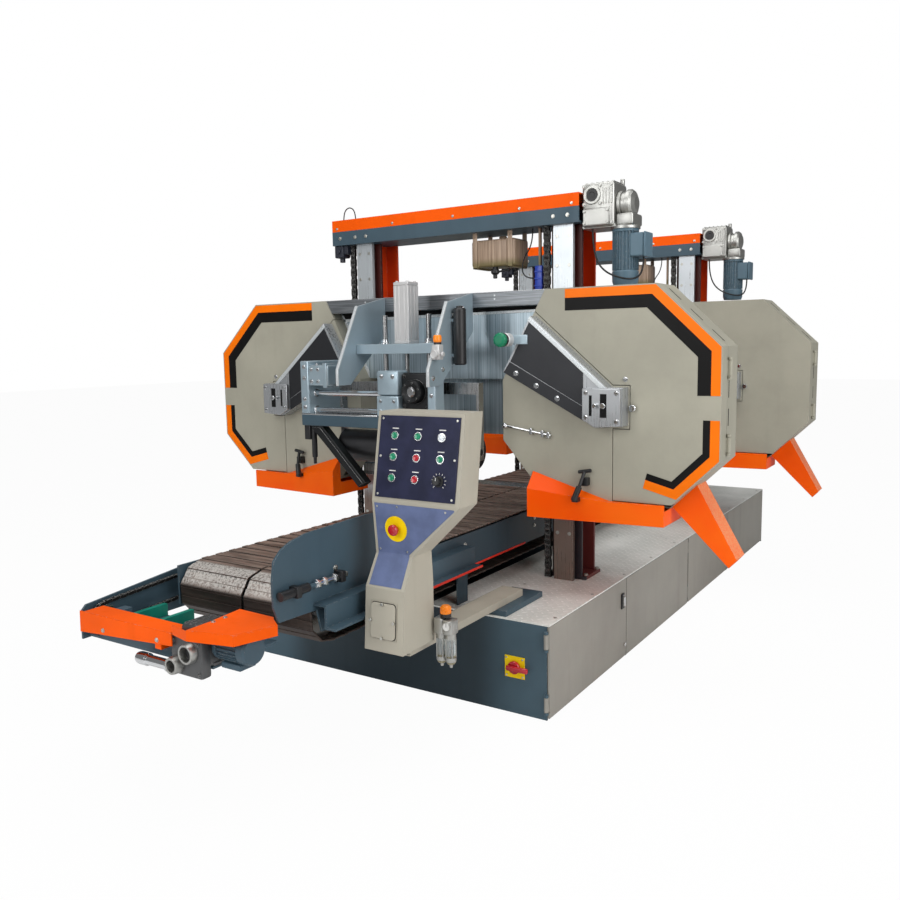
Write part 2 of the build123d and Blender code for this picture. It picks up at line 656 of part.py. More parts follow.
# Orange guards over the feed drive
guard_front = front - guard_y
guard_top = guard_outline[2][1]
covers = [prism(guard_outline, "y", (guard_front, guard_front + guard_sheet)),
          block(guard_fold_x, (guard_front + guard_sheet, guard_front + guard_fold),
                (guard_top - guard_sheet, guard_top))]
for x in guard_stays:
    covers.append(block((x, x + guard_stay[0]), (guard_front + guard_sheet, bed_start), guard_stay[1:]))
under_guard = right_guard_top - guard_sheet
covers.append(prism([(x, front + y) for x, y in right_guard], "z", (under_guard, right_guard_top)))
covers.append(prism([(x, front + y) for x, y in lip_line], "z",
                    (right_guard_top - right_guard_lip, under_guard)))
covers.append(block(guard_pad, about(feed_y, feed_gearbox / 2), (nose_bed_top + feed_gearbox, under_guard)))

# Gantries: columns with guide rails, beams, orange caps, lift gearmotors and line shafts
beam_y = (rail_front - beam_overhang, rail_front - beam_overhang + beam_depth)
beam_z = (beam_bottom, beam_bottom + beam_height)
chain_y = rail_front + chain_behind_rail
line_y = chain_y + chain_pitch_radius
line_z = beam_bottom + line_shaft_rise
shoe_half = rail[0] / 2 + slide_gap + shoe_wall
chain_x = [x - shoe_half - chain_side_gap - chain[0] / 2 for x in (column_x, -column_x)]
columns, rails = [], []
for x in (column_x, -column_x):
    column_y = (column_front, column_front + column[1])
    stem_z = (base_height + foot_plate[1], beam_bottom)
    section = block(about(x, column[0]), (column_y[0], column_y[0] + column_flange), stem_z)
    section += block(about(x, column[0]), (column_y[1] - column_flange, column_y[1]), stem_z)
    section += block(about(x, column_web), column_y, stem_z)
    columns += [section, block(about(x, foot_plate[0]), (column_y[0], column_y[1] + foot_plate[2]),
                               (base_height, stem_z[0]))]
    rail_z = (base_height, beam_bottom)
    rails.append(block(about(x, rail[0]), (rail_front, rail_front + rail[1]), rail_z)
                 + block(about(x, rail_spacer[0]), (rail_front + rail[1], column_front), rail_z))
nodes["gantry_columns"] = columns + further(columns)
nodes["guide_rails"] = rails + further(rails)

beam = block(beam_ends, beam_y, beam_z)
beam -= block(beam_ends, (beam_y[0] + beam_wall, beam_y[1] - beam_wall), (beam_z[0] + beam_wall, beam_z[1]))
line_shaft = rod("x", line_shaft_radius, (line_y, line_z),
                 (shaft_start, beam_ends[1] + gearbox_socket - end_clearance))
lift_chains = []
for x in chain_x:
    slot = [about(x, chain[0] + 2 * chain_slot), about(chain_y, chain[1] + 2 * chain_slot)]
    beam -= block(*slot, (beam_z[0], beam_z[0] + beam_wall))
    rim = chain_pitch_radius - chain[1] / 2 - chain_clearance
    line_shaft += rod("x", rim, (line_y, line_z), about(x, line_sprocket_width))
    lift_chains.append(block(about(x, chain[0]), about(chain_y, chain[1]), (base_height, line_z)))
stands = []
for x in pedestal_x:
    stand = block(about(x, pedestal[0]), about(line_y, pedestal[1]),
                  (beam_z[0] + beam_wall, beam_z[0] + beam_wall + pedestal[2]))
    stands.append(stand - rod("x", line_shaft_radius + running_fit, (line_y, line_z), about(x, pedestal[0])))
nodes["gantry_beams"] = [beam] + stands + further([beam] + stands)
nodes["line_shaft_front"] = [line_shaft]
nodes["line_shaft_rear"] = further([line_shaft])
nodes["drive_chains"] = drive_chains + lift_chains + further(lift_chains)

cap = block(beam_ends, beam_y, (beam_z[1], beam_z[1] + cap_height))
cap -= block((beam_ends[0] + cap_sheet, beam_ends[1]), (beam_y[0] + cap_sheet, beam_y[1] - cap_sheet),
             (beam_z[1], beam_z[1] + cap_height - cap_sheet))
nodes["orange_covers"] = covers + [cap] + further([cap])

lift_x = (beam_ends[1], beam_ends[1] + lift_gearbox[0])
lift_y = (line_y - gearbox_ahead, line_y - gearbox_ahead + lift_gearbox[1])
lift_z = (beam_bottom - gearbox_drop, beam_bottom - gearbox_drop + lift_gearbox[2])
shaft_socket = rod("x", line_shaft_radius + running_fit, (line_y, line_z),
                   (lift_x[0], lift_x[0] + gearbox_socket))
terminal_x = lift_motor_x + lift_motor[0] + motor_terminal[0]
lift_drive = [block(lift_x, lift_y, lift_z) - shaft_socket,
              block((lift_x[1], lift_x[1] + gear_input[0]), about(line_y, gear_input[1]),
                    (lift_z[0], lift_z[0] + gear_input[2])),
              rod("z", lift_motor[0], (lift_motor_x, line_y), (lift_z[0] - lift_motor[1], lift_z[0]))
              + block((lift_motor_x, terminal_x), about(line_y, motor_terminal[1]),
                      (motor_terminal[2], motor_terminal[2] + motor_terminal[3]))]
nodes["gearmotors"] = gearmotors + lift_drive + further(lift_drive)

# Lubricant tanks with taps, and the dosing pumps
tank_x = (tank_left, tank_left + tank[0])
tank_y = (beam_y[0] + tank_setback, beam_y[0] + tank_setback + tank[1])
tank_z = (beam_bottom - tank_hang - tank[2], beam_bottom - tank_hang)
shell = block(tank_x, tank_y, tank_z) - block((tank_x[0] + tank_sheet, tank_x[1] - tank_sheet),
                                              (tank_y[0] + tank_sheet, tank_y[1] - tank_sheet),
                                              (tank_z[0] + tank_sheet, tank_z[1] - tank_sheet))
lubrication = [shell]
for x in (tank_x[0] + tank_strap, tank_x[1] - tank_strap):
    lubrication.append(block(about(x, tank_strap), tank_y, (tank_z[1], beam_bottom)))
tap_centre = (sum(tank_x) / 2, tank_y[0] + 2 * tap[0])
lubrication.append(rod("z", tap[0], tap_centre, (tank_z[0] - tap[1], tank_z[0])))
pump_x = (pump_left, pump_left + pump[0])
pump_y = (beam_y[0] + pump_setback, beam_y[0] + pump_setback + pump[1])
pump_top = beam_bottom - pump_hang
lubrication.append(block(pump_x, pump_y, (pump_top - pump[2], pump_top)))
lubrication.append(block(about(pump_left + pump[0] / 2, pump_strap[0]), about(sum(pump_y) / 2, pump_strap[1]),
                         (pump_top, beam_bottom)))
nodes["lubricant_tanks"] = lubrication + further(lubrication)

# Wheel casings: octagonal shells, each with a fixed inner panel and a door on its outer side
wheel_x = throat / 2 + inner_margin + wheel_radius
wheel_z = slat_top + blade_height + wheel_radius
x0, x1 = throat / 2, wheel_x + wheel_radius + outer_margin
z0, z1 = wheel_z - wheel_radius - bottom_margin, wheel_z + wheel_radius + top_margin
corners = [(x0 + inner_bottom_cut[0], z0), (x1 - outer_bottom_cut[0], z0), (x1, z0 + outer_bottom_cut[1]),
           (x1, z1 - outer_top_cut[1]), (x1 - outer_top_cut[0], z1), (x0 + inner_top_cut[0], z1),
           (x0, z1 - inner_top_cut[1]), (x0, z0 + inner_bottom_cut[1])]
door_y = (front + head_setback, front + head_setback + door_depth)
casing_y = (door_y[1] + 2 * hinge_slit, door_y[1] + 2 * hinge_slit + casing_depth)
wheel_y = sum(casing_y) / 2
axle = (wheel_x, wheel_z)
arm_points = [(wheel_x + across, wheel_z + up) for across, up in arm_outline]
panel_right = max(x for x, z in arm_points) + panel_margin
panel_low = min(z for x, z in arm_points) - panel_margin
panel_high = arm_points[3][1] + panel_margin
seam_x = wheel_x + seam_offset
meeting = tuple(a + panel_top_share * (b - a) for a, b in zip(corners[6], corners[5]))
whole = outline_face(corners)
inner_face = outline_face([corners[6], corners[7], corners[0], (seam_x, z0), (seam_x, panel_low),
                           (panel_right, panel_low), (panel_right, panel_high),
                           (arm_points[2][0], panel_high), meeting])
below_door = Pos((x0 + x1) / 2, z0) * Rectangle(2 * (x1 - x0), 2 * door_lift)
door_face = whole - offset(inner_face, 2 * hinge_slit, kind=Kind.INTERSECTION) - below_door

shell = sheet_tray(whole, casing_y, sheet, "back") - rod("y", axle_hole, axle, casing_y)
for level in (wheel_z - wheel_radius, wheel_z + wheel_radius):
    shell -= block((x0, wheel_x - wheel_radius / 2), about(wheel_y, blade_width + 2 * blade_slot[1]),
                   about(level, 2 * blade_slot[0]))
inner_panel = sheet_tray(inner_face, (door_y[0], casing_y[0]), sheet, "front")
inner_panel -= rod("y", axle_hole, axle, door_y)
mount_ring = sleeve("y", wheel_bearing[0], axle_radius + running_fit, axle,
                    (casing_y[1], casing_y[1] + wheel_bearing[1]))
pins, sleeves = hinge(x1 + hinge_offset, door_y[1] + hinge_slit, [wheel_z + level for level in casing_hinges])
door = joined([sheet_tray(door_face, door_y, sheet, "front")] + sleeves)

# Chute on the right casing, with its hole in the casing
edge_length = hypot(*outer_bottom_cut)
edge = (outer_bottom_cut[0] / edge_length, outer_bottom_cut[1] / edge_length)
root = [tuple(c + e * s for c, e in zip(corners[1], edge)) for s in chute_root]
outlet_low = (corners[1][0] + chute_low[0], corners[1][1] - chute_low[1])
outlet_high = (corners[1][0] + chute_high[0], corners[1][1] - chute_high[1])
chute_y = (casing_y[0] + chute_inset[0], casing_y[1] - chute_inset[1])
chute_room = (chute_y[0] + chute_sheet, chute_y[1] - chute_sheet)
hole = [(p[0] + side * edge[1] * sheet * 3, p[1] - side * edge[0] * sheet * 3) for p, side in
        ((root[0], -1), (root[0], 1), (root[1], 1), (root[1], -1))]
hole = [(x + s * edge[0] * 2 * chute_sheet, z + s * edge[1] * 2 * chute_sheet) for (x, z), s in
        zip(hole, (1, 1, -1, -1))]
chute_shell = shell - prism(hole, "y", chute_room)


def between(a, b, length):
    """Point at a length from a towards b."""
    share = length / hypot(b[0] - a[0], b[1] - a[1])
    return (a[0] + share * (b[0] - a[0]), a[1] + share * (b[1] - a[1]))


sides = [root[0], root[1], outlet_high, outlet_low]
chute = [prism(sides, "y", (chute_y[0], chute_room[0])), prism(sides, "y", (chute_room[1], chute_y[1])),
         prism([root[1], outlet_high, between(outlet_high, outlet_low, chute_sheet),
                between(root[1], root[0], chute_sheet)], "y", chute_room),
         prism([root[0], outlet_low, between(outlet_low, outlet_high, chute_sheet),
                between(root[0], root[1], chute_sheet)], "y", chute_room)]

# Orange pans under the casings: a wedge in front of the panel and an open tray below
pan_bottom = z0 - pan_drop
pan_end = corners[1][0]


def pan_section(x, ahead, front_rise, back_rise, inset):
    low, face = pan_bottom + inset, door_y[0] - ahead + inset
    points = [(door_y[0], low), (face, low), (face, pan_bottom + front_rise - inset),
              (door_y[0], pan_bottom + back_rise - inset)]
    return make_face(Polyline(*[(x, y, z) for y, z in points], close=True))


def pan_wedge(inset):
    return loft([pan_section(pan_start + inset, pan_projection, pan_rise[1], pan_rise[0], inset),
                 pan_section(pan_knee, pan_knee_projection, pan_lip_rise, pan_lip_rise, inset),
                 pan_section(pan_end - inset, pan_lip, pan_lip_rise, pan_lip_rise, inset)], ruled=True)


tray = block((pan_start, pan_end), (door_y[0], casing_y[1]), (pan_bottom, z0))
tray -= block((pan_start + pan_sheet, pan_end - pan_sheet), (door_y[0] + pan_sheet, casing_y[1] - pan_sheet),
              (pan_bottom + pan_sheet, z0))
pan = [pan_wedge(0) - pan_wedge(pan_sheet), tray]

# Outboard bearing arms
arm_y = (door_y[0] - arm_depth, door_y[0])
arm_face = outline_face(arm_points)
arm = upright(arm_face, arm_y) - upright(offset(arm_face, -arm_wall, kind=Kind.INTERSECTION),
                                         (arm_y[0] + arm_wall, arm_y[1] - arm_wall))
arm += rod("y", arm_boss, axle, (arm_y[0] + arm_wall, arm_y[1] - arm_wall))
arm -= rod("y", axle_radius + running_fit, axle, (arm_y[1] - arm_bore, arm_y[1]))

# Saw wheels with their axles, and the blade round them
axle_start = arm_y[1] - arm_bore + end_clearance
motor_y = casing_y[1] + wheel_bearing[1]


def wheel(end):
    body = sleeve("y", wheel_radius, wheel_radius - wheel_rim, axle, about(wheel_y, wheel_width))
    body += rod("y", wheel_radius - wheel_rim, axle, about(wheel_y, wheel_web))
    body += rod("y", hub_radius, axle, about(wheel_y, wheel_width))
    return body + rod("y", axle_radius, axle, (axle_start, end))


blade_inner = wheel_radius + band_clearance
blade_y = about(wheel_y, blade_width)
arc = sleeve("y", blade_inner + blade_thickness, blade_inner, axle, blade_y)
arc -= block((wheel_x - 2 * wheel_radius, wheel_x), blade_y, (z0, z1))
blade = both_sides(arc)
for low in (wheel_z + blade_inner, wheel_z - blade_inner - blade_thickness):
    blade.append(block((-wheel_x, wheel_x), blade_y, (low, low + blade_thickness)))

motor = rod("y", saw_motor[0], axle, (motor_y, motor_y + saw_motor[1]))
motor += block(about(wheel_x, motor_box[0]), about(motor_y + saw_motor[1] / 2, motor_box[1]),
               (wheel_z, wheel_z + saw_motor[0] + motor_box[2]))
motor -= rod("y", axle_radius + running_fit, axle, (motor_y, motor_y + motor_socket))

# Head beam with cover, back plate, posts and the shoes that slide on the guide rails
beam_low = z1 - head_beam_height
narrow = x0 + inner_top_cut[0] * (1 - head_beam_height / inner_top_cut[1])
wide = corners[5][0]
head = [prism([(-narrow, beam_low), (narrow, beam_low), (wide, z1), (-wide, z1)], "y",
              (door_y[0] + head_beam_setback, casing_y[1])),
        prism([(-x0, corners[6][1]), (x0, corners[6][1]), (narrow, beam_low), (-narrow, beam_low)], "y",
              (casing_y[0], casing_y[0] + cover_sheet)),
        prism([(-x0, corners[7][1]), (x0, corners[7][1]), (x0, corners[6][1]), (narrow, beam_low),
               (-narrow, beam_low), (-x0, corners[6][1])], "y", (casing_y[1] - back_sheet, casing_y[1]))]
shoe_front = rail_front - slide_gap - shoe_wall
channel = (rail_front - slide_gap, rail_front + rail[1] + slide_gap)
keeper = (channel[1], channel[1] + shoe_keeper)
channel_half = rail[0] / 2 + slide_gap
slot_half = rail_spacer[0] / 2 + slide_gap
for x in (column_x, -column_x):
    head.append(block(about(x, shoe_post), (casing_y[1], shoe_front),
                      (wheel_z + shoe_levels[1], wheel_z + shoe_levels[0] + shoe_height)))
    for level in shoe_levels:
        shoe_z = (wheel_z + level, wheel_z + level + shoe_height)
        head.append(block(about(x, 2 * shoe_half), (shoe_front, channel[0]), shoe_z))
        for side in (1, -1):
            head.append(block(sorted((x + side * channel_half, x + side * shoe_half)),
                              (channel[0], keeper[1]), shoe_z))
            head.append(block(sorted((x + side * slot_half, x + side * channel_half)), keeper, shoe_z))

# Hold-down unit: gussets, bridge plate, air cylinder, slide bars of the blade guide and the press carriage
press_y = front + press_setback
gusset_outer = gusset_half_gap + gusset_sheet
gusset = prism([(front + y, z) for y, z in gusset_outline], "x", (gusset_half_gap, gusset_outer))
bridge_z = (bridge[2], bridge[2] + bridge[3])
bridge_plate = block((-gusset_half_gap, gusset_half_gap), (front + bridge[0], front + bridge[1]), bridge_z)
bridge_plate -= rod("z", rod_radius + running_fit, (0, press_y), bridge_z)
for x in (guide_rod_x, -guide_rod_x):
    bridge_plate -= rod("z", guide_rod_radius + running_fit, (x, press_y), bridge_z)
cylinder_z = (bridge_z[1], bridge_z[1] + cylinder_length)
cylinder = block(about(0, cylinder_width), about(press_y, cylinder_width), cylinder_z)
cylinder -= rod("z", cylinder_bore, (0, press_y),
                (cylinder_z[0] + cylinder_cap, cylinder_z[1] - cylinder_cap))
cylinder -= rod("z", rod_radius + running_fit, (0, press_y), (cylinder_z[0], cylinder_z[0] + cylinder_cap))
hold_down = both_sides(gusset) + [bridge_plate, cylinder]
for z in slide_bar_heights:
    hold_down.append(rod("x", slide_bar_radius, (front + slide_bar_y, z), slide_bar_ends))
hold_down.append(block((slide_bar_ends[0] - slide_bracket[0], slide_bar_ends[0]),
                       (front + slide_bracket[1], arm_y[0]), slide_bracket[2:]))
left = slide_bar_ends[0]
for right, near, far, low, high in (slide_cheek, slide_block, guide_drive):
    hold_down.append(block((left, right), (front + near, front + far), (low, high)))
    left = slide_bar_ends[1] if left == slide_bar_ends[0] else right
boss_centre = (sum((slide_block[0], guide_drive[0])) / 2, sum(guide_drive[3:]) / 2)
boss_front = front + guide_drive[1] - drive_boss[1]
hold_down.append(rod("y", drive_boss[0], boss_centre, (boss_front, boss_front + drive_boss[1])))
hold_down.append(block((guide_drive[0], gusset_half_gap), (front + drive_lug[0], front + drive_lug[1]),
                       drive_lug[2:]))
lower_y = (front + lower_beam[0], front + lower_beam[1])
lower_z = (slide_bracket[2] - lower_beam[2], slide_bracket[2])
hold_down.append(block((slide_bar_ends[0] - slide_bracket[0], gusset_half_gap), lower_y, lower_z))
hold_down.append(prism([(x, lower_z[0] + z) for x, z in guide_arm], "y", lower_y))
oiler_y = (arm_y[0] - oiler_bracket[3] - oiler[1], arm_y[0] - oiler_bracket[3])
hold_down.append(rod("y", oiler[0], oiler[2:], oiler_y))
hold_down.append(block(oiler_bracket[:2], (oiler_y[1], arm_y[0]), about(oiler[3], oiler_bracket[2])))
strut = rod("z", damper[0], (damper[1], press_y), damper[2:])
for z in damper_clamps:
    strut += block((gusset_outer, damper[1]), about(press_y, damper_clamp[0]), (z, z + damper_clamp[1]))
hold_down.append(strut)
hold_down.append(block((gusset_outer, gusset_outer + valve[0]),
                       (front + valve[2], front + valve[2] + valve[1]), (valve[3], valve[3] + valve[4])))

bar_z = (press_bar[0], press_bar[0] + press_bar[1])
bar_y = about(press_y, press_bar[2])
arm_x = (press_arm[0], press_arm[0] + press_arm[1])
carriage = [block((-arm_x[1], arm_x[1]), bar_y, bar_z)]
leg = block(arm_x, bar_y, (press_height - press_arm_foot, bar_z[0]))
carriage += both_sides(leg - rod("x", press_axle + running_fit, (press_y, press_height), arm_x))
for x in (guide_rod_x, -guide_rod_x):
    carriage.append(rod("z", guide_rod_radius, (x, press_y), (bar_z[1], piston_height)))
carriage.append(rod("z", rod_radius, (0, press_y), (bar_z[1], piston_height))
                + rod("z", piston[0], (0, press_y), (piston_height, piston_height + piston[1])))
drum = (-press_half_length, press_half_length)
roller = sleeve("x", press_radius, press_radius - press_wall, (press_y, press_height), drum)
for end in (drum[0], drum[1] - press_wall):
    roller += rod("x", press_radius, (press_y, press_height), (end, end + press_wall))
roller += rod("x", press_axle, (press_y, press_height), (-arm_x[1] + end_clearance, arm_x[1] - end_clearance))

heads = {"head_beam": head,
         "wheel_casings": [chute_shell, mirrored(shell)] + both_sides(inner_panel) + both_sides(mount_ring)
         + pins + [mirrored(pin) for pin in pins],
         "sawdust_pans": pan + [mirrored(piece) for piece in pan] + chute,
         "bearing_arms": both_sides(arm),
         "saw_blade": blade,
         "drive_wheel": [wheel(motor_y + motor_socket - end_clearance)],
         "idle_wheel": [mirrored(wheel(motor_y - end_clearance))],
         "left_door": [mirrored(door)],
         "right_door": [door],
         "saw_motor": [motor],
         "hold_down": hold_down,
         "press_carriage": carriage,
         "press_roller": [roller]}
for name, pieces in heads.items():
    nodes["front_" + name] = pieces
    nodes["rear_" + name] = further(pieces)

# Console: a bent sheet box with its control plates, buttons, arm, isolator and air unit
def console_body(inset):
    lifts = (inset, 0, 0, 0, -inset)
    sections = []
    for (z, ahead, depth, width), lift in zip(console_sections, lifts):
        x = (console_left + inset, console_left + width - inset)
        y = (front - ahead + inset, front - ahead + depth - inset)
        ring = [(x[0], y[0]), (x[1], y[0]), (x[1], y[1]), (x[0], y[1])]
        sections.append(make_face(Polyline(*[(a, b, z + lift) for a, b in ring], close=True)))
    return loft(sections, ruled=True)


def front_plane(low, high, x):
    """Plane on the console's front between two of its sections, looking outwards."""
    rise, lean = high[0] - low[0], low[1] - high[1]
    middle = (x, front - (low[1] + high[1]) / 2, (low[0] + high[0]) / 2)
    return Plane(middle, x_dir=(1, 0, 0), z_dir=(0, -rise, lean))


def stud(plane, u, v, radius, span):
    return plane.location * Pos(u, v, span[0]) * extrude(Circle(radius), amount=span[1] - span[0])


def slab(plane, u, v, w):
    return plane.location * block(u, v, w)


face_x = console_left + console_sections[4][3] / 2
upper = front_plane(console_sections[3], console_sections[4], face_x)
lower = front_plane(console_sections[2], console_sections[3], estop_x)
foot = front_plane(console_sections[0], console_sections[1], console_left + console_sections[0][3] / 2)
upper_height = hypot(*[a - b for a, b in zip(console_sections[4][:2], console_sections[3][:2])])
box = console_body(0) - console_body(console_sheet)
panel_plate = slab(upper, about(0, console_sections[4][3] - 2 * plate_margin),
                   about(0, upper_height - 2 * plate_margin), (0, plate))
through = (-4 * console_sheet, plate + bezel_height)
collar_span = (-collar[2] - collar[1], -collar[2])
bezels = []
small_controls = [("green_button_%d" % (k + 1), place) for k, place in enumerate(green_places)]
small_controls += [("red_button_%d" % (k + 1), place) for k, place in enumerate(red_places)]
for name, place in small_controls:
    u, v = place[0] * button_step[0], place[1] * button_step[1]
    way = stud(upper, u, v, button_radius + button_fit, through)
    box -= way
    panel_plate -= way
    bezels.append(stud(upper, u, v, button_bezel, (plate, plate + bezel_height)) - way)
    button = stud(upper, u, v, button_radius, (collar_span[0], plate + bezel_height + button_proud))
    nodes[name] = [button + stud(upper, u, v, button_radius + collar[0], collar_span)]
u, v = lamp_place[0] * button_step[0], lamp_place[1] * button_step[1]
bezels.append(stud(upper, u, v, button_bezel, (plate, plate + bezel_height)))
bezels.append(stud(upper, u, v, button_radius, (plate + bezel_height, plate + bezel_height + button_proud)))
u, v = dial_place[0] * button_step[0], dial_place[1] * button_step[1]
way = stud(upper, u, v, dial[2] + running_fit, through)
box -= way
panel_plate -= way
knob = stud(upper, u, v, dial[0], (plate + end_clearance, plate + end_clearance + dial[1]))
knob += stud(upper, u, v, dial[2], (collar_span[0], plate + end_clearance))
nodes["speed_knob"] = [knob + stud(upper, u, v, dial[2] + collar[0], collar_span)]

way = stud(lower, 0, 0, button_radius + button_fit, through)
box -= way
stop_disc = stud(lower, 0, 0, estop_disc, (0, plate)) - way
mushroom = stud(lower, 0, 0, button_radius, (collar_span[0], plate + estop_proud))
mushroom += stud(lower, 0, 0, estop_head[0], (plate + estop_proud, plate + estop_proud + estop_head[1]))
nodes["emergency_stop"] = [mushroom + stud(lower, 0, 0, button_radius + collar[0], collar_span)]

stem_hole = rod("y", dial[2] + running_fit, (isolator_x, isolator_z), (front - plate, front + panel))
frame[0] -= stem_hole
switch_plate = block(about(isolator_x, isolator_plate), (front - plate, front),
                     about(isolator_z, isolator_plate))
switch_face = front - plate - end_clearance
disc_face = switch_face - isolator_disc[1]
handle = rod("y", isolator_disc[0], (isolator_x, isolator_z), (disc_face, switch_face))
bar_start = isolator_x - isolator_tail
handle += block((bar_start, bar_start + isolator_bar[0]), (disc_face - isolator_bar[2], disc_face),
                about(isolator_z, isolator_bar[1]))
handle += rod("y", dial[2], (isolator_x, isolator_z), (switch_face, front + panel + collar[1]))
handle += rod("y", dial[2] + collar[0], (isolator_x, isolator_z),
              (front + panel + end_clearance / 2, front + panel + end_clearance / 2 + collar[1]))
nodes["isolator_handle"] = [handle]
cover = slab(foot, about(0, cover_plate[0]), about(0, cover_plate[1]), (0, console_sheet))
nodes["control_plates"] = [panel_plate] + bezels + [stop_disc, switch_plate - stem_hole, cover]

arm_x = (arm_left, arm_left + arm_tube[0])
arm_z = (arm_low, arm_low + arm_tube[1])
console_back = front - console_sections[0][1] + console_sections[0][2]
arm_start = console_back - arm_under
nodes["console_box"] = [box, box_tube(arm_x, (arm_start, front + arm_tube_end), arm_z, arm_tube_wall, "y"),
                        block(arm_x, (arm_start, console_back), (arm_z[1], console_sections[0][0]))]
nodes["base_frame"] = frame

air_limits = (front - air_y[0], front - air_y[1])
middle = (sum(air_x) / 2, sum(air_limits) / 2)
body = block(air_x, air_limits, air_z)
body -= rod("z", air_knob[2] + running_fit, middle, (air_z[1] - air_knob[3], air_z[1]))
body -= rod("x", air_inlet[0], (middle[1], sum(air_z) / 2), (air_x[1] - air_inlet[1], air_x[1]))
air = [body, block((air_bracket[0], air_x[0]), (console_back, console_back + air_bracket[1]),
                   about(sum(air_z) / 2, air_bracket[2]))]
for x in bowl_x:
    air.append(rod("z", bowl[0], (x, middle[1]), (air_z[0] - bowl[1], air_z[0])))
nodes["air_unit"] = air
grip_z = air_z[1] + end_clearance / 2
nodes["regulator_knob"] = [rod("z", air_knob[0], middle, (grip_z, grip_z + air_knob[1]))
                           + rod("z", air_knob[2], middle, (air_z[1] - air_knob[3] + end_clearance, grip_z))]


# Cables as round tubes along straight runs with tangent arcs
def cord(points, radius):
    bends = []
    for a, b, c in zip(points, points[1:], points[2:]):
        into, away = Vector(b) - Vector(a), Vector(c) - Vector(b)
        half_turn = into.get_angle(away) * pi / 360
        bends.append(0.45 * min(into.length, away.length) * cos(half_turn) / sin(half_turn))
    path = FilletPolyline(*points, radius=bends)
    print("cord", [tuple(round(c, 1) for c in p) for p in points], "bends", [round(r, 1) for r in bends],
          "length", round(path.length, 1))
    return sweep(Plane(path @ 0, z_dir=path % 0) * Circle(radius), path)


cables = []
for points, level in ((pump_cable, beam_bottom), (cap_cable, beam_z[1] + cap_height)):
    cables.append(cord([(x, beam_y[0] + cable_y, level + z) for x, z in points], cable_radius))
cables.append(cord([(x, beam_y[0] + y, lift_z[0] + z) for x, y, z in motor_cable], motor_cable_radius))
nodes["cables"] = cables + further(cables)

# One STEP file for each node
for name, pieces in nodes.items():
    solids = [solid for piece in pieces for solid in piece.solids()]
    export_step(Compound(solids), "parts/" + name + ".step")
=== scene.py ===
from math import cos, pi, radians, sin

import bmesh
import bpy
from mathutils import Matrix, Vector


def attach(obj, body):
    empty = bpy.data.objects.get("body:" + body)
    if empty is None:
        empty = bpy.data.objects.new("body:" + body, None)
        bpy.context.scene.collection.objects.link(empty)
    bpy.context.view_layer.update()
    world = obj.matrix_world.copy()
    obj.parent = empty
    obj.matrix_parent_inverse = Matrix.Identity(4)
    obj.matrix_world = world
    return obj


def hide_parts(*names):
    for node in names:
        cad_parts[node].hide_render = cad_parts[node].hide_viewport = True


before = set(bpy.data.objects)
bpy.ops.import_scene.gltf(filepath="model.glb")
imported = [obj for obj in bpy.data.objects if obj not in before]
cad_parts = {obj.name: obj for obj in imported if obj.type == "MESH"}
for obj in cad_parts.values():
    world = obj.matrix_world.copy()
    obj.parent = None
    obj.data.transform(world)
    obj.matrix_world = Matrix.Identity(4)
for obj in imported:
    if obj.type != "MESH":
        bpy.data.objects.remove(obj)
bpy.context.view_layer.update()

# The studio: a wide pale floor, a soft overhead panel and two side panels, all round the machine.
# The camera stands off the infeed corner on the right, at eye height, and looks a little downwards.
scene = bpy.context.scene
scene.view_settings.view_transform = "Standard"
azimuth, down, roll = radians(32.77), radians(6.99), radians(-0.99)
look = Vector((-sin(azimuth) * cos(down), cos(azimuth) * cos(down), -sin(down)))
right = look.cross(Vector((0, 0, 1))).normalized()
over = right.cross(look)
axes = (cos(roll) * right + sin(roll) * over, cos(roll) * over - sin(roll) * right, -look)
camera = bpy.data.objects.new("camera", bpy.data.cameras.new("camera"))
camera.data.lens, camera.data.sensor_width = 34.14, 36.0
camera.matrix_world = Matrix.Translation((2.244, -4.745, 1.501)) @ Matrix(axes).transposed().to_4x4()
scene.collection.objects.link(camera)
scene.camera = camera

for lamp_name, place, size, watts in (("top_panel", (0.5, -1.5, 6.0), 5.0, 200.0),
                                      ("side_panel", (6.0, -3.5, 3.2), 4.0, 210.0),
                                      ("front_panel", (-1.0, -8.0, 3.5), 4.0, 200.0)):
    lamp = bpy.data.objects.new(lamp_name, bpy.data.lights.new(lamp_name, "AREA"))
    lamp.data.energy, lamp.data.size = watts, size
    aim = Vector((0.0, 0.0, 0.9)) - Vector(place)
    lamp.matrix_world = Matrix.Translation(place) @ aim.to_track_quat("-Z", "Y").to_matrix().to_4x4()
    scene.collection.objects.link(lamp)


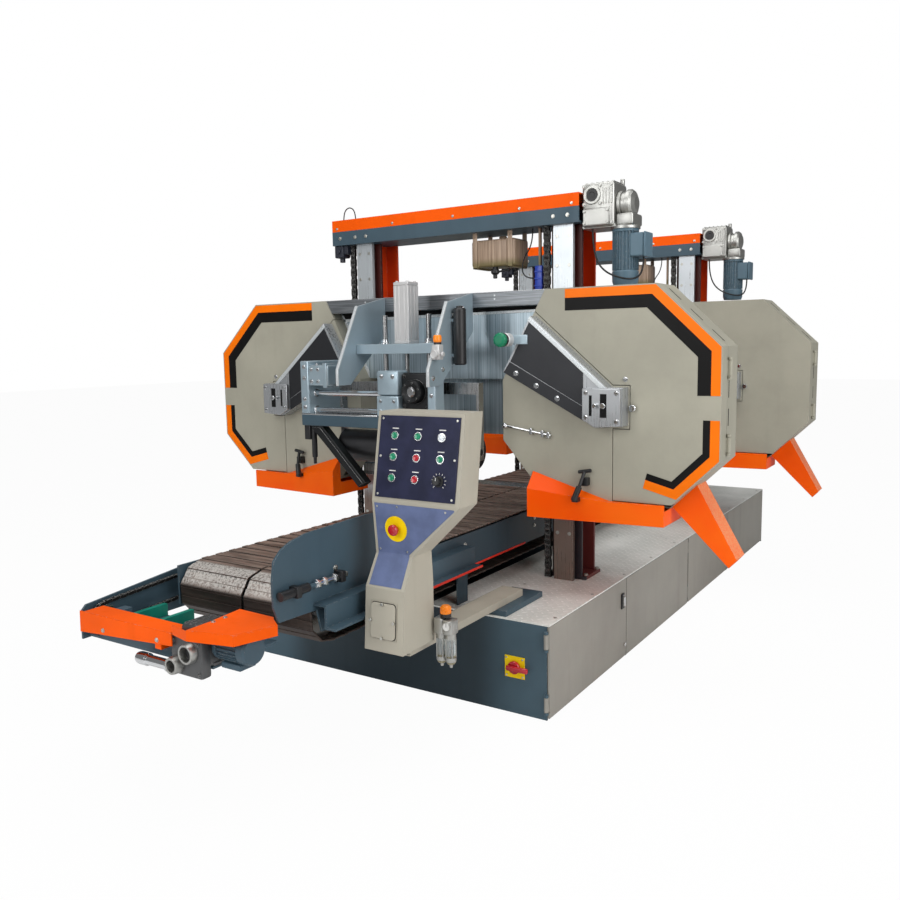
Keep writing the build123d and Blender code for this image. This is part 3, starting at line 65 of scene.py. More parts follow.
class Tone:
    """A socket in a node tree. Sums and products of tones add Math nodes; node() adds any other."""

    def __init__(self, tree, socket=None):
        self.tree, self.socket = tree, socket

    def shader(self):
        """The tree's own shader node."""
        return self.tree.nodes["Principled BSDF"]

    def feed(self, socket, value):
        """Links a tone to a socket, or sets a plain value on it."""
        if isinstance(value, Tone):
            self.tree.links.new(value.socket, socket)
        else:
            socket.default_value = value

    def node(self, kind, settings=(), inputs=(), out=0):
        """Any node: its type, settings and inputs, and the output that is wanted."""
        made = self.tree.nodes.new(kind)
        for name, value in dict(settings).items():
            setattr(made, name, value)
        for name, value in dict(inputs).items():
            self.feed(made.inputs[name], value)
        return Tone(self.tree, made.outputs[out])

    def math(self, operation, first, second=0.0):
        return self.node("ShaderNodeMath", {"operation": operation}, {0: first, 1: second})

    def blend(self, share, first, second):
        """Colour between two, by a share."""
        return self.node("ShaderNodeMix", {"data_type": "RGBA"}, {0: share, 6: first, 7: second}, out=2)

    def step(self, low, high):
        """This value, eased from 0 at low to 1 at high."""
        return self.node("ShaderNodeMapRange", {"interpolation_type": "SMOOTHSTEP"},
                         {"Value": self, "From Min": low, "From Max": high})

    def place(self):
        """Where a point is on its object."""
        return self.node("ShaderNodeTexCoord", out="Object")

    def part(self, vector, axis):
        """One axis of a vector."""
        return self.node("ShaderNodeSeparateXYZ", {}, {"Vector": vector}, out=axis)

    def dot(self, first, second):
        return self.node("ShaderNodeVectorMath", {"operation": "DOT_PRODUCT"}, {0: first, 1: second},
                         out="Value")

    def stretched(self, vector, scale, rotation=(0, 0, 0)):
        """A vector turned, and scaled along each axis."""
        return self.node("ShaderNodeMapping", {}, {"Vector": vector, "Rotation": rotation, "Scale": scale})

    def noise(self, vector, scale, detail, rough=0.5):
        return self.node("ShaderNodeTexNoise", {}, {"Vector": vector, "Scale": scale, "Detail": detail,
                                                    "Roughness": rough})

    def bump(self, strength, distance, height, under=None):
        """Normal of a relief, laid over another normal if there is one."""
        relief = {"Strength": strength, "Distance": distance, "Height": height}
        return self.node("ShaderNodeBump", {}, {**relief, "Normal": under} if under else relief)

    def lay(self, **sockets):
        """Feeds sockets of the shader, named with _ for a space."""
        for name, value in sockets.items():
            self.feed(self.shader().inputs[name.replace("_", " ")], value)

    def __add__(self, other):
        return self.math("ADD", self, other)

    def __sub__(self, other):
        return self.math("SUBTRACT", self, other)

    def __rsub__(self, other):
        return self.math("SUBTRACT", other, self)

    def __mul__(self, other):
        return self.math("MULTIPLY", self, other)

    __radd__ = __add__
    __rmul__ = __mul__


def srgb(red, green, blue):
    """Colour as a picture shows it, 0 to 255, made linear for the shader."""
    parts = [value / 255 for value in (red, green, blue)]
    return (*[p / 12.92 if p <= 0.04045 else ((p + 0.055) / 1.055) ** 2.4 for p in parts], 1.0)


def new_finish(name, **constants):
    """A material and its tree as a tone, with the sockets that are the same all over set."""
    material = bpy.data.materials.new(name)
    material.use_nodes = True
    tone = Tone(material.node_tree)
    tone.lay(**constants)
    return material, tone


world = bpy.data.worlds.new("studio")
scene.world = world
world.use_nodes = True


def straight_rays(tone):
    """1 for rays that come from the camera or through clear plastic, otherwise 0."""
    seen = tone.node("ShaderNodeLightPath", out="Is Camera Ray")
    return tone.math("MINIMUM", seen + tone.node("ShaderNodeLightPath", out="Is Transmission Ray"), 1.0)


white = (1, 1, 1, 1)
sky, background = Tone(world.node_tree), world.node_tree.nodes["Background"]
sky.feed(background.inputs["Strength"], 0.2 + straight_rays(sky) * 0.8)
background.inputs["Color"].default_value = white

floor_form = bmesh.new()
bmesh.ops.create_grid(floor_form, x_segments=8, y_segments=8, size=30.0)
floor_mesh = bpy.data.meshes.new("floor")
floor_form.to_mesh(floor_mesh)
floor_form.free()
floor = bpy.data.objects.new("floor", floor_mesh)
scene.collection.objects.link(floor)
floor_finish, tone = new_finish("pale_floor", Base_Color=(0.86, 0.86, 0.86, 1), Roughness=0.8)
glow = tone.node("ShaderNodeEmission", {}, {"Color": white, "Strength": 1.0})
lit = tone.node("ShaderNodeMixShader", {}, {0: straight_rays(tone) * 0.965,
                                            1: Tone(tone.tree, tone.shader().outputs[0]), 2: glow})
tone.feed(tone.tree.nodes["Material Output"].inputs["Surface"], lit)
floor_mesh.materials.append(floor_finish)


# The base: two welded modules of 8 mm sheet on box-section skids, sprayed satin slate.
# The fixed side panels beside the cabinet doors are grey sheets screwed on from outside.
def softened(tone, radius):
    """Normal rounded over the edges, and how near an edge the surface is."""
    rounded = tone.node("ShaderNodeBevel", {"samples": 4}, {"Radius": radius})
    plain = tone.node("ShaderNodeNewGeometry", out="Normal")
    near = 1.0 - tone.dot(rounded, plain)
    return rounded, near


def shade(colour, share):
    """A colour made darker or lighter."""
    return (*[value * share for value in colour[:3]], 1.0)


def enamel(name, colour, roughness=0.4, chip=0.5, edge=0.003, grime=0.5, specular=0.3):
    """Sprayed and stoved paint: cloudy tone, faint runs of dirt, orange peel, chipped edges."""
    material, tone = new_finish(name, Specular_IOR_Level=specular)
    place = tone.place()
    cloud = tone.noise(place, 2.3, 6.0, 0.62)
    tall = tone.stretched(place, (14.0, 14.0, 1.3))
    runs = tone.noise(tall, 1.0, 5.0, 0.55)
    speck = tone.noise(place, 70.0, 4.0, 0.7)
    peel = tone.noise(place, 420.0, 2.0)
    rounded, near = softened(tone, edge)
    base = tone.blend(cloud.step(0.3, 0.7), shade(colour, 0.9), shade(colour, 1.07))
    dirty = tone.blend(runs.step(0.52, 0.78) * (0.3 * grime), base, shade(colour, 0.45))
    worn = (near * 5.0).step(0.25, 0.9) * speck.step(0.5, 0.62) * chip
    tone.lay(Base_Color=tone.blend(worn, dirty, srgb(196, 192, 184)),
             Roughness=roughness + (cloud - 0.5) * 0.16 + runs.step(0.5, 0.8) * 0.1 + worn * 0.1,
             Normal=tone.bump(0.12, 0.0006, peel + speck * 0.3, rounded))
    return material


def paint_light_along(material, axis, unshaded, dark, colour, share):
    """Painted light along a piece: a colour for shade, and on the rails for reflected light, blended in
    between two distances from the middle of the machine.
    """
    tone = Tone(material.node_tree)
    along = tone.math("ABSOLUTE", tone.part(tone.place(), axis))
    under = Tone(tone.tree, tone.shader().inputs["Base Color"].links[0].from_socket)
    tone.lay(Base_Color=tone.blend(along.step(unshaded, dark) * share, under, colour))


def dress(material, *names):
    """Gives CAD nodes a finish in all their slots."""
    for name in names:
        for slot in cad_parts[name].material_slots:
            slot.material = material


def bar(form, low, high, edge=0.002, rounds=2):
    """A block between two corners, its edges rounded."""
    size = [b - a for a, b in zip(low, high)]
    middle = Matrix.Translation([(a + b) / 2 for a, b in zip(low, high)])
    made = bmesh.ops.create_cube(form, size=1.0, matrix=middle @ Matrix.Diagonal((*size, 1.0)))
    edges = list({e for vert in made["verts"] for e in vert.link_edges})
    bmesh.ops.bevel(form, geom=edges, offset=edge, affect="EDGES", segments=rounds, profile=0.5, material=-1,
                    clamp_overlap=True)


def settle(form, name, body, slot, material, *nodes):
    """Makes a finished form one piece of the machine, riding on a body."""
    mesh = bpy.data.meshes.new(name)
    form.to_mesh(mesh)
    form.free()
    mesh.materials.append(material)
    mesh.shade_smooth()
    mesh.set_sharp_from_angle(angle=radians(20))
    piece = bpy.data.objects.new(name, mesh)
    scene.collection.objects.link(piece)
    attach(piece, body)
    if nodes:
        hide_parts(*nodes)


def bolt(form, head, way, size=0.008, flat=0.004):
    """A hexagon head on a washer; head is its middle on the sheet, way points outwards."""
    head, way = Vector(head), Vector(way).normalized()
    turn = way.to_track_quat("Z", "Y").to_matrix().to_4x4()
    for radius, low, high, sides in ((size * 1.35, 0.0, flat * 0.35, 20), (size, flat * 0.35, flat * 1.5, 6)):
        middle = Matrix.Translation(head + way * (low + high) / 2)
        made = bmesh.ops.create_cone(form, cap_ends=True, segments=sides, radius1=radius, radius2=radius,
                                     depth=high - low, matrix=middle @ turn)
        rim = [face for face in {f for v in made["verts"] for f in v.link_faces} if len(face.verts) == sides]
        bmesh.ops.bevel(form, geom=list({e for face in rim for e in face.edges}),
                        offset=size * 0.09, affect="EDGES", segments=1, profile=0.5, material=-1,
                        clamp_overlap=True)


module = 1.8    # length of one base module, and so the pitch of gantries and heads
gantries = (0.0, module)
to_top, to_front, to_right = (0, 0, 1), (0, -1, 0), (1, 0, 0)
sheet_x, skirt_z = (0.7985, 0.8016), (0.010, 0.388)    # side sheets: faces, and lower and upper edges
slate = enamel("slate_enamel", srgb(66, 86, 98), roughness=0.42)
base_slate = enamel("base_enamel", srgb(70, 92, 104), roughness=0.42)
# Painted shade: the base goes darker towards its middle, where the overhanging conveyor shades its front.
paint_light_along(base_slate, "X", 0.64, 0.44, srgb(28, 33, 38), 0.7)
dress(base_slate, "base_frame")
cabinet_grey = enamel("cabinet_enamel", srgb(152, 149, 141), roughness=0.45, grime=0.4)
panels = bmesh.new()
for start, end in ((-0.968, -0.02), (0.834, 1.792)):
    bar(panels, (sheet_x[0], start, skirt_z[0]), (sheet_x[1], end, skirt_z[1]), 0.0012)
settle(panels, "side_panels", "machine", "cabinet_paint", cabinet_grey)


def bright_metal(name, colour, roughness=0.3, brushed=None, grain=0.12, edge=0.0015, stain=0.3, metallic=1.0):
    """Bare metal: brushed along a direction or cast, with stains and brighter worn edges."""
    material, tone = new_finish(name, Metallic=metallic)
    place = tone.place()
    cloud = tone.noise(place, 6.0, 5.0, 0.6)
    stretch = tone.stretched(place, brushed or (220.0, 220.0, 220.0))
    lines = tone.noise(stretch, 1.0, 3.0)
    rounded, near = softened(tone, edge)
    base = tone.blend(cloud.step(0.3, 0.75) * stain, shade(colour, 1.05), shade(colour, 0.62))
    streaked = tone.blend(lines * 0.5, base, shade(colour, 1.12))
    tone.lay(Base_Color=tone.blend((near * 4.0).step(0.1, 0.9) * 0.6, streaked, srgb(215, 215, 212)),
             Roughness=roughness + (lines - 0.5) * 0.2 + (cloud - 0.5) * 0.18,
             Normal=tone.bump(grain, 0.0008, lines, rounded))
    return material


zinc_bolt = bright_metal("zinc_fastener", srgb(190, 190, 184), roughness=0.32)

# Tread plates: 6 mm raised-lozenge steel plate on both walkways, unpainted.
# Each plate is held by countersunk screws along both long edges.
tread_finish, tone = new_finish("lozenge_plate", Metallic=0.1)
place = tone.place()
across = tone.stretched(place, (30.0, 30.0, 0.0), (0, 0, radians(45)))
cell_u = tone.part(across, "X")
cell_v = tone.part(across, "Y")
diagonal = tone.math("FLOOR", cell_u) + tone.math("FLOOR", cell_v)
parity = tone.math("MODULO", tone.math("ABSOLUTE", diagonal), 2.0)
local_u = tone.math("FRACT", cell_u) - 0.5
local_v = tone.math("FRACT", cell_v) - 0.5
long_way = local_u * parity + local_v * (1.0 - parity)
short_way = local_v * parity + local_u * (1.0 - parity)
lozenge = 1.0 - (long_way * long_way * 5.0 + short_way * short_way * 46.0).step(0.45, 1.0)
cloud = tone.noise(place, 3.5, 7.0, 0.65)
scuff = tone.noise(place, 45.0, 4.0)
plate_tone = tone.blend(cloud.step(0.35, 0.7), srgb(218, 220, 214), srgb(240, 241, 236))
tone.lay(Base_Color=tone.blend(lozenge * scuff.step(0.3, 0.6), plate_tone, srgb(250, 250, 246)),
         Roughness=0.42 + (cloud - 0.5) * 0.3 - lozenge * 0.1,
         Normal=tone.bump(0.9, 0.0016, lozenge + scuff * 0.08))
dress(tread_finish, "tread_plates")
tread_screws = bmesh.new()
for side in (1, -1):
    for x in (0.440, 0.778):
        for k in range(10):
            bolt(tread_screws, (side * x, -1.7 + k * 0.3777, 0.396), to_top, 0.006, 0.0014)
settle(tread_screws, "tread_screws", "machine", "bare_steel", zinc_bolt)

# Cabinet doors: folded grey sheet leaves on two barrel hinges at their front edges.
# Each has a black quarter-turn latch with a chromed grip, and a small bolt low down.
# A black strip in the joint between the two modules beside them is painted shade for the gap.
dress(cabinet_grey, "cabinet_door_front", "cabinet_door_rear")


def moulded(name, colour, roughness=0.35, grain=260.0, coat=0.0, specular=0.5):
    """Moulded plastic or rubber: slight mottling and a fine grain."""
    material, tone = new_finish(name, Coat_Weight=coat, Specular_IOR_Level=specular)
    place = tone.place()
    cloud = tone.noise(place, 18.0, 4.0)
    fine = tone.noise(place, grain, 2.0)
    rounded, near = softened(tone, 0.0012)
    base = tone.blend(cloud.step(0.3, 0.7), shade(colour, 0.86), shade(colour, 1.1))
    tone.lay(Base_Color=tone.blend((near * 4.0).step(0.2, 1.0) * 0.25, base, shade(colour, 1.9)),
             Roughness=roughness + (cloud - 0.5) * 0.2,
             Normal=tone.bump(0.1, 0.0005, fine, rounded))
    return material


def pin(form, start, end, radius, edge=0.001, sides=32):
    """A round bar between two points, its rims rounded."""
    start, end = Vector(start), Vector(end)
    turn = (end - start).to_track_quat("Z", "Y").to_matrix().to_4x4()
    middle = Matrix.Translation((start + end) / 2)
    made = bmesh.ops.create_cone(form, cap_ends=True, segments=sides, radius1=radius, radius2=radius,
                                 depth=(end - start).length, matrix=middle @ turn)
    caps = [face for face in {f for v in made["verts"] for f in v.link_faces} if len(face.verts) == sides]
    bmesh.ops.bevel(form, geom=list({e for face in caps for e in face.edges}), offset=edge, affect="EDGES",
                    segments=2, profile=0.5, material=-1, clamp_overlap=True)


black_plastic = moulded("black_plastic", srgb(28, 28, 30), roughness=0.42)
# Painted shade: a black strip in the joint between the modules.
joint_shade_strip = bmesh.new()
bar(joint_shade_strip, (0.7970, -0.0202, skirt_z[0]), (0.7993, -0.0110, skirt_z[1]), 0.0003)
settle(joint_shade_strip, "module_joint_shade", "machine", "black_rubber", black_plastic)
chrome = bright_metal("chromed_steel", srgb(214, 216, 218), roughness=0.12, grain=0.03, stain=0.1)
leaf_x, latch_x = 0.800, 0.8075    # outer faces of leaf and latch
for end, edge in (("front", -module), ("rear", 0.002)):
    door = "cabinet_door_" + end
    latch = bmesh.new()
    bar(latch, (leaf_x, edge + 0.758, 0.253), (latch_x, edge + 0.792, 0.327), 0.003)
    settle(latch, "latch_body_" + end, door, "black_plastic", black_plastic)
    grip = bmesh.new()
    bar(grip, (latch_x, edge + 0.767, 0.266), (0.8165, edge + 0.783, 0.314), 0.004, 3)
    pin(grip, (leaf_x, edge + 0.805, 0.070), (0.808, edge + 0.805, 0.070), 0.0095)
    bolt(grip, (0.8065, edge + 0.775, 0.318), to_right, 0.0035, 0.002)
    settle(grip, "latch_grip_" + end, door, "bare_steel", chrome)

# Conveyor bed: two long side plates, the right one rising into a fence, with the nose in front.
# Slate enamel; flanged bearings, a chromed chain tensioner and a folded angle are bolted outside.
bed_slate = enamel("bed_enamel", srgb(66, 86, 98), roughness=0.42)
# Painted shade: the bed goes darker behind the console, where it lies in shadow.
paint_light_along(bed_slate, "Y", 2.05, 1.75, srgb(20, 28, 34), 0.6)
dress(bed_slate, "conveyor_bed")


def turned(form, profile, foot, way, steps=48):
    """A turned form: pairs of radius and height, spun about an axis."""
    foot, way = Vector(foot), Vector(way).normalized()
    side = way.orthogonal().normalized()
    before = set(form.verts)
    line = [form.verts.new(foot + side * radius + way * height) for radius, height in profile]
    edges = [form.edges.new(pair) for pair in zip(line, line[1:])]
    bmesh.ops.spin(form, geom=line + edges, cent=foot, axis=way, angle=2 * pi, steps=steps, use_merge=True)
    bmesh.ops.remove_doubles(form, verts=[v for v in form.verts if v not in before], dist=1e-6)
    fresh = [f for f in form.faces if not any(v in before for v in f.verts)]
    bmesh.ops.recalc_face_normals(form, faces=fresh)


def cut_sheet(form, outline, thick, edge=0.0012):
    """A sheet cut to an outline of points and given its thickness along a vector."""
    face = form.faces.new([form.verts.new(point) for point in outline])
    made = bmesh.ops.extrude_face_region(form, geom=[face])["geom"]
    raised = [v for v in made if isinstance(v, bmesh.types.BMVert)]
    bmesh.ops.translate(form, vec=thick, verts=raised)
    edges = {e for v in raised for e in v.link_edges} | set(face.edges)
    faces = list({f for e in edges for f in e.link_faces})
    bmesh.ops.recalc_face_normals(form, faces=faces)
    if edge:
        bmesh.ops.bevel(form, geom=list(edges), offset=edge, affect="EDGES", segments=2, profile=0.5,
                        material=-1, clamp_overlap=True)


cast_grey = bright_metal("cast_alloy", srgb(178, 178, 174), roughness=0.42, grain=0.35, stain=0.55)
bed_ends, shaft_z, bed_side = (-2.55, 1.78), 0.590, 0.345    # end shafts, and the side plates' outer faces
bearings = bmesh.new()
for y in bed_ends:
    for side in (1, -1):
        turned(bearings, ((0.0, 0.008), (0.022, 0.008), (0.026, 0.004), (0.036, 0.002), (0.040, 0.0)),
               (side * 0.3845, y, shaft_z), (side, 0, 0), 40)
        for across in (-0.034, 0.034):
            for up in (-0.034, 0.034):
                bolt(bearings, (side * 0.385, y + across, shaft_z + up), (side, 0, 0), 0.0055, 0.003)
settle(bearings, "bearing_caps", "machine", "bare_steel", cast_grey)


def on_rod(y):
    """A point on the tensioner's axis."""
    return 0.3625, y, 0.718


tensioner = bmesh.new()
pin(tensioner, on_rod(-2.668), on_rod(-2.552), 0.0105)
for y in (-2.662, -2.628, -2.575):
    pin(tensioner, on_rod(y), on_rod(y + 0.012), 0.0165, sides=6)
turned(tensioner, ((0.0085, 0.0), (0.0125, 0.006), (0.0125, 0.03), (0.009, 0.036)), on_rod(-2.54), (0, 1, 0))
settle(tensioner, "tensioner_rod", "machine", "bare_steel", chrome)
sleeve = bmesh.new()
pin(sleeve, on_rod(-2.832), on_rod(-2.700), 0.0155)
for y in (-2.772, -2.5510):
    bar(sleeve, (bed_side, y, 0.6985), (0.3825, y + 0.023, 0.7375), 0.003)
settle(sleeve, "tensioner_sleeve", "machine", "black_plastic", black_plastic)
red_edge = enamel("red_edge", srgb(200, 40, 22), roughness=0.4, chip=0.6, specular=0.2)
trim = bmesh.new()
bar(trim, (0.4388, -2.30, 0.5650), (0.4412, -1.701, 0.5752), 0.0008)
bar(trim, (0.3446, -1.705, 0.5392), (0.3474, -1.135, 0.5480), 0.0008)
settle(trim, "angle_edge", "machine", "red_paint", red_edge)
bed_bolts = bmesh.new()
for k in range(7):
    for side in (1, -1) if k else (-1,):
        for up in (0.612, 0.648):
            bolt(bed_bolts, (side * bed_side, -2.34 + k * 0.65167, up), (side, 0, 0), 0.007)
for y, z in ((-2.541, 0.745), (-2.20, 0.80)):
    bolt(bed_bolts, (bed_side, y, z), to_right, 0.008)
settle(bed_bolts, "bed_bolts", "machine", "bare_steel", zinc_bolt)

# Slat chain: two strands of dark rolled-steel slats side by side, endless round the end shafts.
# Each slat is two lapped plates; the edges are worn bright by the logs.
slat_finish, tone = new_finish("worn_slat_steel", Metallic=0.5)
place = tone.place()
along_y = tone.part(place, "Y")
height = tone.part(place, "Z")
outwards = tone.node("ShaderNodeNewGeometry", out="Normal")
each = tone.stretched(place, (3.0, 28.5, 28.5))
patch = tone.noise(each, 1.0, 4.0, 0.7)
drag = tone.stretched(place, (160.0, 7.0, 7.0))
scratch = tone.noise(drag, 1.0, 5.0, 0.75)
pit = tone.noise(place, 130.0, 4.0)
rounded, near = softened(tone, 0.0025)
slat_joints = 0.035036    # pitch of the joints between plates
joint_phase = tone.math("FRACT", (along_y - bed_ends[0]) * (1 / slat_joints) + 0.5)
from_joint = tone.math("ABSOLUTE", joint_phase - 0.5)
dirt = 1.0 - from_joint.step(0.03, 0.16)
ahead = tone.dot(outwards, (0, -0.82, 0.57))
worn = (scratch * 0.7 + pit * 0.9).step(0.55, 0.9)
polished = ahead.step(0.5, 0.8) * (1.0 - along_y.step(-2.575, -2.56)) * height.step(0.618, 0.640) * worn
# Painted shade: below the top run the slats are darkened, as the lower wrap and the return run lie in shadow;
# the dark at the plate joints is dirt.
below = 1.0 - height.step(0.585, 0.640)
rust = tone.blend(patch.step(0.35, 0.68), srgb(92, 76, 68), srgb(162, 140, 128))
dragged = tone.blend(scratch.step(0.58, 0.75) * 0.55, rust, srgb(190, 178, 168))
edged = tone.blend((near * 4.0).step(0.06, 0.7) * pit.step(0.3, 0.6), dragged, srgb(205, 196, 186))
dirt_and_shade = tone.blend(tone.math("MAXIMUM", dirt, below) * 0.85, edged, srgb(40, 31, 27))
tone.lay(Base_Color=tone.blend(polished * 0.9, dirt_and_shade, srgb(226, 222, 216)),
         Roughness=0.38 + patch * 0.2 - scratch.step(0.55, 0.8) * 0.12 - polished * 0.1,
         Normal=tone.bump(0.3, 0.0012, pit + scratch, rounded))


def belt(first, second, radius, out, count, slit):
    """Ends of the links of an endless chain round two equal wheels, as pairs of (y, z) points."""
    first, second = Vector(first), Vector(second)
    run, arc = (second - first).length, pi * radius
    way = (second - first) / run
    rise = Vector((-way.y, way.x))

    def spot(length):
        if length < run:
            return first + way * length + rise * (radius + out)
        if length < run + arc:
            turn = (length - run) / radius
            return second + (rise * cos(turn) + way * sin(turn)) * (radius + out)
        if length < 2 * run + arc:
            return second - way * (length - run - arc) - rise * (radius + out)
        turn = (length - 2 * run - arc) / radius
        return first - (rise * cos(turn) + way * sin(turn)) * (radius + out)

    step = 2 * (run + arc) / count
    return [(spot(k * step + slit / 2), spot((k + 1) * step - slit / 2)) for k in range(count)]


def link_frame(x, ends):
    """Frame of one link: its middle, X across, Y along the chain and Z outwards."""
    middle, way = (ends[0] + ends[1]) / 2, (ends[1] - ends[0]).normalized()
    turned_axes = Matrix(((1, 0, 0), (0, way.x, way.y), (0, -way.y, way.x))).transposed()
    return Matrix.Translation((x, middle.x, middle.y)) @ turned_axes.to_4x4()


slats = bmesh.new()
for ends in belt((bed_ends[0], shaft_z), (bed_ends[1], shaft_z), 0.105, 0.005, 133, 0.004):
    length = (ends[1] - ends[0]).length
    for x in (0.167, -0.167):
        for share, lift in ((-0.25, -0.0040), (0.25, -0.0055)):
            size = Matrix.Diagonal((0.320, length / 2 - 0.0008, 0.008 if share < 0 else 0.007, 1.0))
            bmesh.ops.create_cube(slats, size=1.0, matrix=link_frame(x, ends)
                                  @ Matrix.Translation((0, share * length, lift)) @ size)
bmesh.ops.bevel(slats, geom=slats.edges[:], offset=0.0014, affect="EDGES", segments=1, profile=0.5,
                material=-1)
settle(slats, "slats", "machine", "slat_steel", slat_finish, "slat_chain")

# Wear strips: extruded green polyethylene, under the slats and across the nose.
# They are screwed to the cross tubes and to the nose bed.
wear_green = moulded("green_polyethylene", srgb(8, 132, 112), roughness=0.5)
dress(wear_green, "wear_strips")

# Conveyor and feed shafts: turned steel bar with sprocket discs shrunk on.
# They run in the flanged bearings of the bed.
turned_steel = bright_metal("turned_steel", srgb(150, 150, 150), roughness=0.28, brushed=(240.0, 14.0, 14.0))
dress(turned_steel, "drive_shaft", "tail_shaft", "feed_shaft")

# Guards of the feed drive: 4 mm folded sheet, sprayed orange.
# Each is screwed to the nose from the front or from above.
orange = enamel("orange_enamel", srgb(250, 92, 0), roughness=0.45, grime=0.35, specular=0.1)
dress(orange, "orange_covers")
guard_screws = bmesh.new()
for x, z in ((-0.285, 0.556), (-0.005, 0.572)):
    bolt(guard_screws, (x, -3.022, z), to_front, 0.006, 0.003)
for y in (-2.945, -2.895):
    bolt(guard_screws, (0.178, y, 0.640), to_top, 0.006, 0.003)
settle(guard_screws, "guard_screws", "machine", "bare_steel", zinc_bolt)


# Feed gearmotor: an alloy worm gearbox with two bored faces and a finned slate motor beside it.
# It stands on the nose bed on four bolts and drives the feed shaft.
def finned_motor(form, foot, way, radius, length, fins=26):
    """An electric motor: finned barrel, end shield and a fan cowl with a rounded end."""
    foot, way = Vector(foot), Vector(way).normalized()
    side = way.orthogonal().normalized()
    turned(form, ((0.0, 0.0), (radius * 0.97, 0.0), (radius, 0.006), (radius, 0.016), (radius * 0.86, 0.018),
                  (radius * 0.86, length * 0.74), (radius * 0.97, length * 0.745), (radius, length * 0.76),
                  (radius * 0.98, length * 0.93), (radius * 0.88, length), (0.0, length)), foot, way, 40)
    stand = Matrix((side, way.cross(side), way)).transposed().to_4x4()
    fin = Matrix.Translation((radius * 0.91, 0, length * 0.38))
    fin = fin @ Matrix.Diagonal((radius * 0.16, radius * 0.045, length * 0.70, 1.0))
    for k in range(fins):
        spoke = Matrix.Translation(foot) @ stand @ Matrix.Rotation(2 * pi * k / fins, 4, "Z")
        bmesh.ops.create_cube(form, size=1.0, matrix=spoke @ fin)


def bored_face(form, middle, way, outer, inner, depth):
    """A machined ring standing on a housing round a bore."""
    turned(form, ((inner * 0.9, -0.004), (inner * 0.9, depth * 0.4), (inner, depth), (outer * 0.94, depth),
                  (outer, depth * 0.7), (outer * 1.02, -0.001)), middle, way, 36)


dark_cast = bright_metal("dark_cast_alloy", srgb(92, 93, 94), roughness=0.42, grain=0.3, stain=0.5,
                         metallic=0.7)
feed_gear, feed_rims = bmesh.new(), bmesh.new()
bar(feed_gear, (0.064, -2.981, 0.500), (0.186, -2.859, 0.626), 0.010, 3)
bar(feed_gear, (0.060, -2.962, 0.500), (0.190, -2.855, 0.512), 0.003)
bar(feed_gear, (0.046, -3.011, 0.468), (0.188, -2.967, 0.599), 0.010, 3)
bored_face(feed_rims, (0.140, -3.010, 0.552), to_front, 0.033, 0.025, 0.024)
bored_face(feed_rims, (0.078, -3.010, 0.505), to_front, 0.029, 0.020, 0.031)
bored_face(feed_rims, (0.064, -2.92, 0.565), (-1, 0, 0), 0.044, 0.020, 0.006)
for k in range(5):
    bar(feed_gear, (0.072 + k * 0.024, -2.972, 0.624), (0.077 + k * 0.024, -2.868, 0.630), 0.0012, 1)
for x, z in ((0.060, 0.580), (0.176, 0.486), (0.178, 0.584)):
    bolt(feed_gear, (x, -3.011, z), to_front, 0.006)
settle(feed_gear, "feed_gearbox", "machine", "bare_steel", dark_cast, "gearmotors")
settle(feed_rims, "feed_bore_rims", "machine", "bare_steel", cast_grey, "gearmotors")
feed_sleeve = bmesh.new()
sleeve_profile = ((0.0215, -0.002), (0.0215, 0.026), (0.0175, 0.031), (0.0175, 0.122), (0.0215, 0.127),
                  (0.0215, 0.164), (0.0185, 0.1745), (0.0120, 0.1745), (0.0110, 0.160), (0.0, 0.160))
turned(feed_sleeve, sleeve_profile, (0.046, -3.000, 0.485), (-1, 0, 0), 36)
settle(feed_sleeve, "feed_sleeve", "machine", "bare_steel", chrome, "gearmotors")
feed_motor = bmesh.new()
finned_motor(feed_motor, (0.190, -2.92, 0.565), to_right, 0.050, 0.142, 22)
bar(feed_motor, (0.215, -2.955, 0.500), (0.300, -2.885, 0.520), 0.004)
settle(feed_motor, "feed_motor", "machine", "slate_paint", slate, "gearmotors")
bore_plugs = bmesh.new()
for x, z, radius in ((0.140, 0.552, 0.0225), (0.078, 0.505, 0.018)):
    turned(bore_plugs, ((0.0, 0.004), (radius * 0.5, 0.004), (radius * 0.6, 0.002), (radius, 0.002),
                        (radius, -0.003)),
           (x, -3.011, z), to_front, 28)
settle(bore_plugs, "feed_bore_plugs", "machine", "black_plastic", black_plastic, "gearmotors")

# Gantry columns: rolled I-sections sprayed orange-red, with painted shade in front where the rail is bolted
# on.
# Each stands on a foot plate with four anchor bolts; the guide rails are ground bright steel.
column_finish, tone = new_finish("column_enamel", Specular_IOR_Level=0.3)
place = tone.place()
depth = tone.part(place, "Y")
# Painted shade: the front flange behind the rail is painted near-black red, as it lies in shade.
front_flange_shade = 1.0 - tone.math("FRACT", (depth + 1.13) * (1 / module)).step(0.0085, 0.0095)
cloud = tone.noise(place, 4.0, 6.0, 0.6)
speck = tone.noise(place, 90.0, 3.0)
peel = tone.noise(place, 380.0, 2.0)
rounded, near = softened(tone, 0.004)
red_coat = tone.blend(cloud.step(0.3, 0.7), srgb(214, 58, 14), srgb(240, 78, 22))
column_tone = tone.blend(front_flange_shade, red_coat, srgb(62, 16, 10))
chipped = (near * 5.0).step(0.3, 0.9) * speck.step(0.5, 0.62) * 0.4
tone.lay(Base_Color=tone.blend(chipped, column_tone, srgb(180, 170, 160)),
         Roughness=0.4 + (cloud - 0.5) * 0.2,
         Normal=tone.bump(0.12, 0.0006, peel, rounded))
